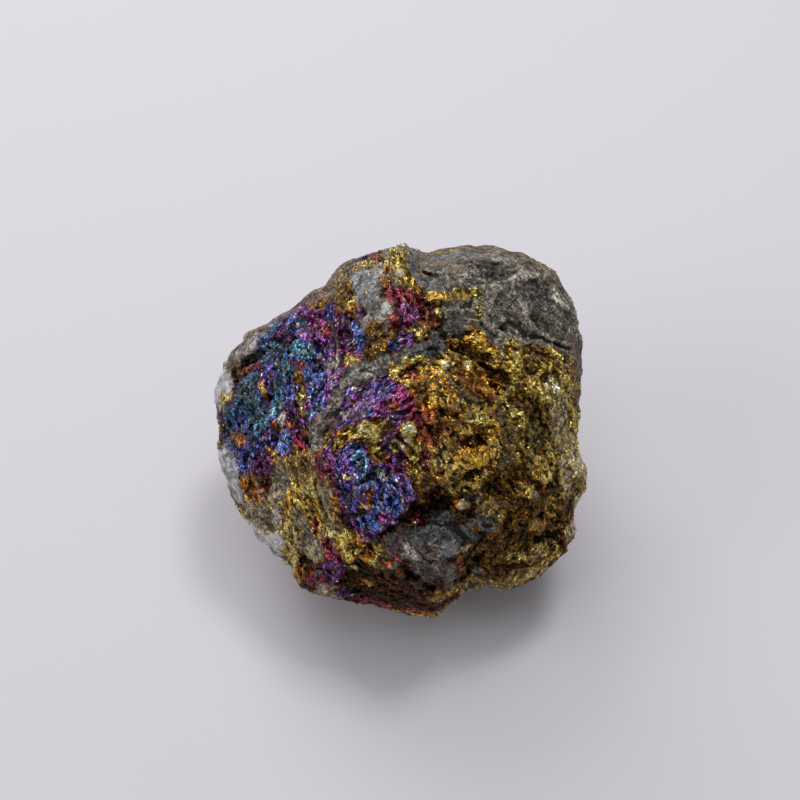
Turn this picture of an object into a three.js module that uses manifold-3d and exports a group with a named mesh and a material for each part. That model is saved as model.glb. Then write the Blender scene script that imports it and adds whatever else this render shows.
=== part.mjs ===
// A lump of peacock ore: tarnished chalcopyrite, broken from a vein, with dull grey rock and a little
// white quartz grown into it. It grew as one piece, so it is one solid, and it rests on a small flat spot.
// Millimetres, +Z up. The origin is on the surface that it rests on, under the middle of its box.
//
// The stone is drawn on its girdle, the widest outline that it has. The girdle plane leans back, so the
// crown, the broken face with the colours, looks up and towards -Y. In the girdle's own axes x runs across,
// u runs up the slope and v runs out of the crown. Each feature is placed by [x, u]: it lies over that
// point on the crown or, with side: -1, under it on the belly.
import * as THREE from "three";
import { ImprovedNoise } from "three/addons/math/ImprovedNoise.js";
import { mergeVertices } from "three/addons/utils/BufferGeometryUtils.js";
import Module from "manifold-3d";

const wasm = await Module();
wasm.setup();

// ---------------------------------------------------------------- driving dimensions, mm and degrees
const LEAN = 30; // from upright to the crown's axis
const CROWN_HEIGHT = 23; // girdle plane to the top of the crown
const BELLY_DEPTH = 27; // girdle plane to the bottom of the belly, before the sole is cut
const SOLE_DROP = 21.5; // middle of the girdle to the surface that the stone rests on
const BLUNTNESS = 2.5; // 2 is an ellipsoid, more is boxier
const EDGE_SHARPNESS = 24; // how tightly two broken faces meet
const RIM_PULL = 6; // how near the girdle the body is drawn out to its outline
const DETAIL = 20; // splits of each icosahedron edge

// The girdle, as [x, u], clockwise from the right-hand side.
const GIRDLE = [
  [27.4, 1.9], [26.6, -1.5], [27.6, -6.9], [26.6, -10.2], [25.3, -12.6], [25.7, -15.5], [24.6, -19],
  [21.4, -22.9], [16.9, -24], [12.4, -24.1], [9.2, -25.3], [6.2, -26.8], [3.5, -28.6], [-0.4, -28.4],
  [-5.9, -28], [-11.6, -25.8], [-15, -24.6], [-16.7, -22.4], [-17.8, -20], [-20.8, -17.9], [-24.7, -14.2],
  [-26.5, -10.4], [-28.2, -5.5], [-28.3, -0.6], [-29.2, 4.3], [-29.8, 7.1], [-28, 10.8], [-23.6, 14.4],
  [-19.4, 17.7], [-15.2, 20.4], [-12, 23.1], [-9.8, 26.1], [-7, 26.9], [-3.5, 28.3], [-0.7, 29.3],
  [2.7, 28], [6.8, 28.8], [10.9, 29.7], [17.5, 28.6], [21.5, 26.7], [23.7, 23], [25.5, 19.4],
  [26.8, 16.1], [27.8, 12], [28.1, 7.7],
];

// The crown's broken faces. Each looks towards a direction in the girdle plane (0 is +x, 90 is +u), tipped
// from the crown's axis, and lies that far out from the middle.
const CROWN_FACES = [
  { name: "left colour face", towards: 158, tip: 36, out: 20.5 },
  { name: "middle terrace", towards: -110, tip: 14, out: 21.5 },
  { name: "right gold face", towards: 2, tip: 33, out: 22.2 },
  { name: "grey shoulder", towards: 58, tip: 34, out: 22.4 },
  { name: "grey back slope", towards: 78, tip: 66, out: 26.8 },
  { name: "knob's back slope", towards: 118, tip: 60, out: 26 },
  { name: "tan front left", towards: -143, tip: 47, out: 22.9 },
  { name: "front right brow", towards: -48, tip: 50, out: 24.8 },
  { name: "front", towards: -92, tip: 62, out: 25.6 },
];

// The belly's broken faces, as the stone rests: the compass direction that each looks towards (0 is +X,
// 90 is +Y), how far it looks below level, and how far out from the middle it lies.
const BELLY_FACES = [
  { name: "under the front", towards: -92, dip: 51, out: 24.8 },
  { name: "under the front left", towards: -140, dip: 40, out: 25.2 },
  { name: "under the left", towards: 176, dip: 38, out: 22.8 },
  { name: "under the front right", towards: -42, dip: 44, out: 26.2 },
  { name: "under the right", towards: 4, dip: 37, out: 23.6 },
  { name: "back wall", towards: 84, dip: 12, out: 22.6 },
  { name: "back left wall", towards: 128, dip: 18, out: 24.4 },
  { name: "back right wall", towards: 38, dip: 16, out: 25.6 },
  { name: "under the back", towards: 96, dip: 46, out: 20.6 },
];

// Rounded rises (rise > 0) and hollows (rise < 0).
const LUMPS = [
  { name: "top knob", at: [-0.8, 26], across: 4.5, rise: 1.8 },
  { name: "shoulder knob", at: [15, 14], across: 8, rise: 0.9 },
  { name: "grey boulder", at: [3.6, -19.6], across: 12, rise: 2.4 },
  { name: "gold ridge", at: [6.5, 3.5], across: 8, rise: 1.6 },
  { name: "blue patch swell", at: [-5.5, -9], across: 7, rise: 1.2 },
  { name: "left rim swell", at: [-24, 5], across: 7, rise: 0.7 },
  { name: "bottom left heel", at: [-13, -22], across: 6, rise: 1.1 },
  { name: "right heel", at: [20, -17], across: 8, rise: 0.9 },
  { name: "hollow over the boulder", at: [5, -12.6], across: 4.6, rise: -2.4 },
  { name: "hollow in the gold", at: [10.3, -1.8], across: 3.2, rise: -1.5 },
  { name: "left pit", at: [-25.4, 10], across: 3.2, rise: -1.2 },
  { name: "blue pit", at: [-22.5, -3.4], across: 4, rise: -1.2 },
  { name: "front right pit", at: [22, -16], across: 3.6, rise: -1.3 },
  { name: "shoulder saddle", at: [3.4, 23], across: 5, rise: -1.4 },
  { name: "belly left hollow", at: [-17, -6], side: -1, across: 8, rise: -2 },
  { name: "belly right lump", at: [19, -3], side: -1, across: 9, rise: 1.5 },
  { name: "back hollow", at: [7, 20], side: -1, across: 8, rise: -2.2 },
  { name: "back left lump", at: [-12, 16], side: -1, across: 8, rise: 1.8 },
  { name: "back right lump", at: [19, 13], side: -1, across: 6.5, rise: 1.4 },
  { name: "front underside pit", at: [11, -20], side: -1, across: 5, rise: -1.6 },
];

// Long rises and furrows along a path.
const CREASES = [
  { name: "grey vein", path: [[9.5, 13.6], [2.5, 10], [-5, 7.5], [-13.5, -2]], across: 2.6, rise: -1.6 },
  { name: "shoulder's foot", path: [[1.6, 20], [8.6, 13], [13.8, 8.4], [19, 4.4]], across: 2.6, rise: -2.2 },
  { name: "boulder's right furrow", path: [[8, -15], [11, -20], [10.6, -26]], across: 3.2, rise: -2 },
  { name: "left face's foot", path: [[-29, -6], [-22.5, -8.6], [-16, -6]], across: 2.4, rise: -1.2 },
  { name: "shoulder ridge", path: [[6, 24.6], [14, 25.6], [22, 23.4]], across: 2.6, rise: 1.1 },
  { name: "knob's spine", path: [[-0.8, 27], [0.4, 21], [-3, 15]], across: 3.2, rise: 1.1 },
  { name: "back furrow", path: [[-2, 26], [-4, 18], [2, 9]], side: -1, across: 3, rise: -1.8 },
  { name: "right flank furrow", path: [[26, 2], [20, 6], [14, 15]], side: -1, across: 2.8, rise: -1.4 },
  { name: "left flank ridge", path: [[-27, -6], [-20, -12], [-12, -17]], side: -1, across: 3.4, rise: 1.4 },
];

// Ledges: seen from over the crown, the ground to the right of the path drops, and comes back up further on.
const LEDGES = [
  { name: "terrace edge", path: [[-7, -19.5], [-4.4, -15.6], [1, -11.2], [5.6, -8.4]], drop: 2.4, fade: 8 },
  { name: "left rim ledge", path: [[-28, 11], [-22.5, 13.6], [-16.4, 17.2]], drop: 1.2, fade: 5 },
  { name: "bottom ledge", path: [[-14, -21], [-8, -21.6], [-1.4, -24]], drop: 1.4, fade: 6 },
  { name: "back ledge", path: [[-24, 6], [-15, 9], [-6, 14], [4, 15]], side: -1, drop: 1.8, fade: 8 },
  { name: "right flank ledge", path: [[10, 22], [17, 14], [20, 4]], side: -1, drop: 1.6, fade: 7 },
  { name: "front underside ledge", path: [[-16, -18], [-5, -20], [7, -18]], side: -1, drop: 1.5, fade: 6 },
];
const LEDGE_RUN = 1.4; // half the width that a ledge's drop takes

// The whole surface swells gently, and is broken into small tilted chips of two sizes.
const SWELL = { across: 15, rise: 0.9 };
const CHIPS = [
  { across: 8.5, rise: 0.95, seed: 3 },
  { across: 4.4, rise: 0.62, seed: 11 },
];
const CHIP_BLEND = 18; // how sharply one chip gives way to the next
const CHIP_JITTER = 0.4; // how far a chip's centre strays from its lattice cell's, in cells

// ---------------------------------------------------------------- the plain body
const radians = THREE.MathUtils.degToRad;
const degreesOf = (x, u) => (THREE.MathUtils.radToDeg(Math.atan2(u, x)) + 360) % 360;

// The girdle's radius in steps of a degree, from a smooth closed curve through its points.
const girdleRadii = (() => {
  const points = GIRDLE.map(([x, u]) => new THREE.Vector3(x, u, 0));
  const curve = new THREE.CatmullRomCurve3(points, true, "centripetal");
  const radii = new Array(360).fill(0);
  for (const p of curve.getSpacedPoints(8 * 360)) {
    const degree = Math.round(degreesOf(p.x, p.y)) % 360;
    radii[degree] = Math.max(radii[degree], Math.hypot(p.x, p.y));
  }
  return radii;
})();

function girdleAt(x, u) {
  const turn = degreesOf(x, u);
  const low = Math.floor(turn);
  return THREE.MathUtils.lerp(girdleRadii[low % 360], girdleRadii[(low + 1) % 360], turn - low);
}

// The unit direction that looks towards an angle about the Z axis, tipped from that axis.
function looking(towards, tip) {
  const flat = Math.sin(radians(tip));
  const up = Math.cos(radians(tip));
  return new THREE.Vector3(flat * Math.cos(radians(towards)), flat * Math.sin(radians(towards)), up);
}
const restToGirdle = new THREE.Matrix4().makeRotationX(radians(-LEAN));

const facePlanes = [
  ...CROWN_FACES.map(({ towards, tip, out }) => ({ normal: looking(towards, tip), out })),
  ...BELLY_FACES.map(({ towards, dip, out }) => ({
    normal: looking(towards, 90 + dip).applyMatrix4(restToGirdle),
    out,
  })),
];

// Distance from the middle to where the dome and the faces blend, in a unit direction.
function blendRadius(d) {
  const pole = d.z > 0 ? CROWN_HEIGHT : BELLY_DEPTH;
  const across = Math.hypot(d.x, d.y) / girdleAt(d.x, d.y);
  const dome = (across ** BLUNTNESS + (Math.abs(d.z) / pole) ** BLUNTNESS) ** (-1 / BLUNTNESS);
  let blend = dome ** -EDGE_SHARPNESS;
  for (const { normal, out } of facePlanes) {
    const along = d.dot(normal);
    if (along > 0) blend += (out / along) ** -EDGE_SHARPNESS;
  }
  return blend ** (-1 / EDGE_SHARPNESS);
}

// The plain body: the blend, drawn out near the girdle so that it meets the girdle's outline.
function bodyRadius(d) {
  const flat = Math.hypot(d.x, d.y);
  if (flat === 0) return blendRadius(d);
  const rim = new THREE.Vector3(d.x / flat, d.y / flat, 0);
  return blendRadius(d) * THREE.MathUtils.lerp(1, girdleAt(d.x, d.y) / blendRadius(rim), flat ** RIM_PULL);
}

// The point of the plain body over [x, u] on the crown, or under it on the belly.
function onBody([x, u], side = 1) {
  let inside = 0;
  let outside = 2 * BELLY_DEPTH;
  const p = new THREE.Vector3();
  for (let i = 0; i < 30; i++) {
    const v = (inside + outside) / 2;
    p.set(x, u, side * v);
    if (p.length() < bodyRadius(p.clone().normalize())) inside = v;
    else outside = v;
  }
  return p;
}

// ---------------------------------------------------------------- relief: a rise in mm at a point of the body
const bell = (distance, across) => Math.exp(-2 * (distance / across) ** 2);

const lumps = LUMPS.map(({ at, side, across, rise }) => {
  const top = onBody(at, side);
  return (p) => rise * bell(p.distanceTo(top), across);
});

// Measures the distance to a path on the surface, and which side of it a point is on: 1 is the right.
function beside(path, side) {
  const points = path.map((at) => onBody(at, side));
  const near = new THREE.Vector3();
  return (p) => {
    let distance = Infinity;
    let hand = 1;
    for (let i = 1; i < points.length; i++) {
      const a = points[i - 1];
      const b = points[i];
      new THREE.Line3(a, b).closestPointToPoint(p, true, near);
      if (p.distanceTo(near) >= distance) continue;
      distance = p.distanceTo(near);
      hand = Math.sign((b.y - a.y) * (p.x - a.x) - (b.x - a.x) * (p.y - a.y)) || 1;
    }
    return { distance, hand };
  };
}

const creases = CREASES.map(({ path, side, across, rise }) => {
  const from = beside(path, side);
  return (p) => rise * bell(from(p).distance, across);
});

const ledges = LEDGES.map(({ path, side, drop, fade }) => {
  const from = beside(path, side);
  return (p) => {
    const { distance, hand } = from(p);
    return -drop * THREE.MathUtils.smoothstep(hand * distance, -LEDGE_RUN, LEDGE_RUN) * bell(distance, fade);
  };
});

// A repeatable number from -1 to 1 for a cell of a lattice.
function scatter([i, j, k], seed) {
  const n = Math.sin(i * 127.1 + j * 311.7 + k * 74.7 + seed * 53.9) * 43758.5453;
  return 2 * (n - Math.floor(n)) - 1;
}

const NEIGHBOURS = [-1, 0, 1];
const CELLS = NEIGHBOURS.flatMap((i) => NEIGHBOURS.flatMap((j) => NEIGHBOURS.map((k) => [i, j, k])));

// Each lattice cell has its own tilted plane through its centre, and near cells blend into each other.
function chip(p, { across, rise, seed }) {
  const q = p.clone().divideScalar(across);
  const cells = CELLS.map(([i, j, k]) => {
    const at = [Math.floor(q.x) + i, Math.floor(q.y) + j, Math.floor(q.z) + k];
    const stray = new THREE.Vector3(scatter(at, seed), scatter(at, seed + 1), scatter(at, seed + 2));
    const tilt = new THREE.Vector3(scatter(at, seed + 3), scatter(at, seed + 4), scatter(at, seed + 5));
    const centre = new THREE.Vector3(...at).addScalar(0.5).addScaledVector(stray, CHIP_JITTER);
    const from = q.clone().sub(centre);
    return { near: from.lengthSq(), height: from.dot(tilt) + 0.5 * scatter(at, seed + 6) };
  });
  const nearest = Math.min(...cells.map(({ near }) => near));
  let sum = 0;
  let weights = 0;
  for (const { near, height } of cells) {
    const weight = Math.exp(-CHIP_BLEND * (near - nearest));
    sum += weight * height;
    weights += weight;
  }
  return (rise * sum) / weights;
}

const noise = new ImprovedNoise();
const swell = (p) => SWELL.rise * noise.noise(p.x / SWELL.across, p.y / SWELL.across, p.z / SWELL.across);

function relief(p) {
  let rise = swell(p);
  for (const feature of [...lumps, ...creases, ...ledges]) rise += feature(p);
  for (const size of CHIPS) rise += chip(p, size);
  return rise;
}

// ---------------------------------------------------------------- the solid
function closedMesh(geometry) {
  geometry.deleteAttribute("normal");
  geometry.deleteAttribute("uv");
  return mergeVertices(geometry, 1e-5);
}

function toSolid(geometry) {
  const vertProperties = geometry.attributes.position.array;
  const triVerts = new Uint32Array(geometry.index.array);
  return new wasm.Manifold(new wasm.Mesh({ numProp: 3, vertProperties, triVerts }));
}

function toGeometry(solid) {
  const { vertProperties, triVerts } = solid.getMesh();
  const geometry = new THREE.BufferGeometry();
  geometry.setAttribute("position", new THREE.BufferAttribute(new Float32Array(vertProperties), 3));
  geometry.setIndex(new THREE.BufferAttribute(new Uint32Array(triVerts), 1));
  geometry.computeVertexNormals();
  return geometry;
}

function roughStone() {
  const geometry = closedMesh(new THREE.IcosahedronGeometry(1, DETAIL));
  const positions = geometry.attributes.position;
  const direction = new THREE.Vector3();
  const p = new THREE.Vector3();
  for (let i = 0; i < positions.count; i++) {
    direction.fromBufferAttribute(positions, i).normalize();
    p.copy(direction).multiplyScalar(bodyRadius(direction));
    p.addScaledVector(direction, relief(p));
    positions.setXYZ(i, p.x, p.y, p.z);
  }
  geometry.rotateX(radians(LEAN));
  return geometry;
}

// The stone, worn level where it rests, and moved so that its origin is under the middle of its box.
function stone() {
  const block = 4 * BELLY_DEPTH;
  const ground = closedMesh(new THREE.BoxGeometry(block, block, block));
  ground.translate(0, 0, -SOLE_DROP - block / 2);
  const geometry = toGeometry(toSolid(roughStone()).subtract(toSolid(ground)));
  geometry.computeBoundingBox();
  const { min, max } = geometry.boundingBox;
  geometry.translate(-(min.x + max.x) / 2, -(min.y + max.y) / 2, -min.z);
  return geometry;
}

const ore = new THREE.Mesh(
  stone(),
  new THREE.MeshStandardMaterial({ color: 0x7d6a3c, roughness: 0.42, metalness: 0.9, flatShading: true }),
);
ore.name = "peacock_ore";

const part = new THREE.Group();
part.add(ore);

export default part;
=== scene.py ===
"""A lump of peacock ore, dressed: its broken, grainy surface, tarnish colours, grey rock and white quartz.

Lengths in the tables are millimetres. The stone is drawn on its girdle, the widest outline that it has,
which leans back: x runs across, u up the slope, and v out of the crown, the broken face with the colours.
A patch or a form is placed by [x, u], where a line of sight from far over the crown (side 1) or from far
under the belly (side -1) meets the stone.
"""

import math

import bmesh
import bpy
import numpy as np
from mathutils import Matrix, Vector
from mathutils.bvhtree import BVHTree


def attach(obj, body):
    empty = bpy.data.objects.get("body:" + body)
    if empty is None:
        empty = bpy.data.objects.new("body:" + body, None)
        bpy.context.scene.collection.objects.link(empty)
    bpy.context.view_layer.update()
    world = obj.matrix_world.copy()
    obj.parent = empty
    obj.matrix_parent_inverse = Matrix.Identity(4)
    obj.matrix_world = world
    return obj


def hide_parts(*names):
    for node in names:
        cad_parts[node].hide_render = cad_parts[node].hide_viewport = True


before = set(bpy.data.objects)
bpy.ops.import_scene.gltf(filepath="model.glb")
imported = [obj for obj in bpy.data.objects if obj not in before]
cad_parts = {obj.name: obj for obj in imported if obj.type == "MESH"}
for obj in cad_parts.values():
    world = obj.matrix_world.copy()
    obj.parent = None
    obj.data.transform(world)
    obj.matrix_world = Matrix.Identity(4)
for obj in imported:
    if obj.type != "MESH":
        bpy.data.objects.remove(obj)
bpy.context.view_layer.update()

MM = 0.001
GIRDLE_MIDDLE = np.array([0.428, 0.663, 21.5])
LEAN = math.radians(30)  # from upright to the crown's axis
EYE_DISTANCE = 220.0  # from the middle of the girdle to where the crown is looked at from
VOXEL = 0.28  # grid of the stone's fine surface
VOXEL_STEPS_OFF = 4  # rounds of smoothing that take the grid's steps off
THINNED = 0.54  # share of its faces that is kept, the flat ones going first
STREAK_SQUEEZE = 0.55  # patterns are read this much slower along the grain, so they are longer that way
CHIP_EDGE = 60.0  # how sharply two chips meet


# ------------------------------------------------------------------------------------ tones and patches
def made_of(film, dark, coarse, rock=0.0, quartz=0.0, **tint):
    """What a patch is made of.

    film is the tarnish's thickness, from clean brass gold at 0 through orange, crimson, magenta, purple
    and blue to teal at 1. dark runs from -1, fresh and bright, to 1, black: it is the tone's own
    darkness, and also painted shade where dark tones are laid in pits, hollows and creases and on the
    faces turned down and to the front, and painted highlight in a few bright gold spots. coarse is how
    broken the surface is. rock and quartz are the shares of dull rock and of white quartz. warm is the
    rock's tint, from -1, blue-grey, to 1, brown. Whatever a tone doesn't give stays as it was under the
    patch.
    """
    return dict(film=film, dark=dark, coarse=coarse, rock=rock, quartz=quartz, **tint)


TONES = {  # film, dark, coarse
    # ore, clean or thinly tarnished
    "pale gold": made_of(0.03, -0.55, 0.9),
    "bright gold": made_of(0.1, -0.4, 0.9),
    "gold": made_of(0.11, -0.15, 1.0),
    "gold plate": made_of(0.12, 0.18, 0.22, rock=0.15, warm=0.8),
    "bright amber": made_of(0.165, -0.55, 0.8),
    "amber gold": made_of(0.15, -0.42, 1.0),
    "amber": made_of(0.14, 0.3, 0.25),
    "olive gold": made_of(0.08, 0.0, 1.0, rock=0.04, warm=0.5),
    "olive": made_of(0.07, 0.28, 0.9, rock=0.15, warm=0.7),
    "brown gold": made_of(0.15, 0.22, 0.9, rock=0.2, warm=1.0),
    "umber": made_of(0.15, 0.42, 0.85, rock=0.3, warm=1.0),
    "dark gold": made_of(0.11, 0.58, 0.9, rock=0.05, warm=1.0),
    # dark amber and black brown are the ore's own dark brown, and also painted shade where they are laid on
    # the lower front and in hollows and creases.
    "dark amber": made_of(0.165, 0.66, 0.85, rock=0.03, warm=1.0),
    "black brown": made_of(0.25, 0.8, 0.9, rock=0.2, warm=1.0),
    # ore streaked with rock
    "tan gold": made_of(0.1, -0.25, 0.7, rock=0.3, warm=0.7),
    "streaky gold": made_of(0.09, -0.25, 0.6, rock=0.4, warm=0.95),
    "streaky brown": made_of(0.11, 0.15, 0.65, rock=0.45, warm=1.0),
    "streaky grey": made_of(0.08, -0.25, 0.55, rock=0.8, warm=0.5, quartz=0.05),
    "dark streaks": made_of(0.08, 0.3, 0.8, rock=0.45, warm=0.4),
    "rusty grey": made_of(0.2, -0.1, 0.8, rock=0.5, warm=0.9, quartz=0.05),
    "khaki": made_of(0.05, -0.3, 0.65, rock=0.45, warm=0.75, quartz=0.14),
    # tarnish, from thin to thick
    "orange": made_of(0.205, -0.3, 0.9),
    "rust": made_of(0.24, 0.2, 1.0, rock=0.15, warm=1.0),
    # brown hollow is the ore's own orange brown, darkened as painted shade for the hollows it is laid in.
    "brown hollow": made_of(0.19, 0.34, 0.9, rock=0.1, warm=1.0),
    "salmon": made_of(0.3, -0.35, 1.0),
    "crimson": made_of(0.38, 0.05, 0.9, rock=0.08, warm=0.9),
    "dark crimson": made_of(0.4, 0.35, 0.9, rock=0.3, warm=0.9),
    "magenta": made_of(0.48, -0.1, 1.0),
    "purple": made_of(0.54, 0.0, 0.85, rock=0.08, warm=0.5),
    "deep purple": made_of(0.53, 0.35, 1.0, rock=0.1, warm=0.7),
    "violet": made_of(0.6, -0.3, 0.8, rock=0.1, warm=0.3),
    "indigo": made_of(0.7, 0.08, 0.85, rock=0.05),
    "blue": made_of(0.76, -0.15, 1.0, rock=0.03),
    "slate blue": made_of(0.79, 0.22, 0.62, rock=0.3, warm=0.1),
    "bright blue": made_of(0.8, -0.5, 0.8),
    "navy": made_of(0.84, 0.32, 0.75, rock=0.22),
    "sky": made_of(0.89, -0.5, 1.0),
    "bright teal": made_of(0.95, -0.32, 0.55, rock=0.06),
    "teal": made_of(0.96, -0.15, 0.72, rock=0.1),
    "dark teal": made_of(0.92, 0.32, 0.6, rock=0.2),
    # rock
    "grey rock": made_of(0.06, 0.0, 0.7, rock=1.0, warm=0.0),
    "grey shoulder": made_of(0.06, 0.05, 0.5, rock=1.0, warm=0.15),
    "grey vein": made_of(0.1, 0.06, 0.75, rock=0.95, warm=-0.15, quartz=0.22),
    "boulder": made_of(0.36, 0.22, 0.75, rock=0.8, warm=-0.1),
    "slate rock": made_of(0.12, 0.42, 0.85, rock=0.9, warm=-0.7),
    "blue-grey rock": made_of(0.15, -0.1, 0.28, rock=1.0, warm=-0.9),
    "pale slate": made_of(0.1, -0.35, 0.4, rock=1.0, warm=-1.0, quartz=0.08),
    "pale rock": made_of(0.06, -0.6, 0.6, rock=1.0, warm=-0.25, quartz=0.1),
    "dark rock": made_of(0.06, 0.35, 0.8, rock=1.0, warm=0.0),
    "black rock": dict(rock=1.0, warm=-0.6, quartz=0.08, dark=0.42, coarse=0.9),
    "green rock": made_of(0.1, -0.35, 0.5, rock=1.0, warm=0.3, quartz=0.05),
    "brown rock": made_of(0.12, 0.05, 0.32, rock=1.0, warm=0.6),
    "mauve rock": made_of(0.55, -0.2, 0.7, rock=0.6, warm=0.3),
    "pale rim": made_of(0.06, -0.5, 0.5, rock=0.6, warm=0.75, quartz=0.5),
    "beige rind": dict(rock=1.0, warm=0.5, quartz=0.35, dark=-0.3, coarse=0.3),
    "red rind": made_of(0.38, -0.05, 0.3, rock=0.97, warm=0.7),
    # quartz
    "quartz": dict(quartz=1.0, warm=0.0, dark=-0.4, coarse=0.3),
    "clear quartz": dict(quartz=1.0, warm=0.0, dark=-0.75, coarse=0.45),
    "pale chip": dict(quartz=0.9, warm=0.3, dark=-0.5, coarse=0.5),
    "white chip": dict(quartz=1.0, warm=0.2, dark=-1.0, coarse=0.2),
    # shade alone
    "pit": dict(dark=0.6),
}

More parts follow.
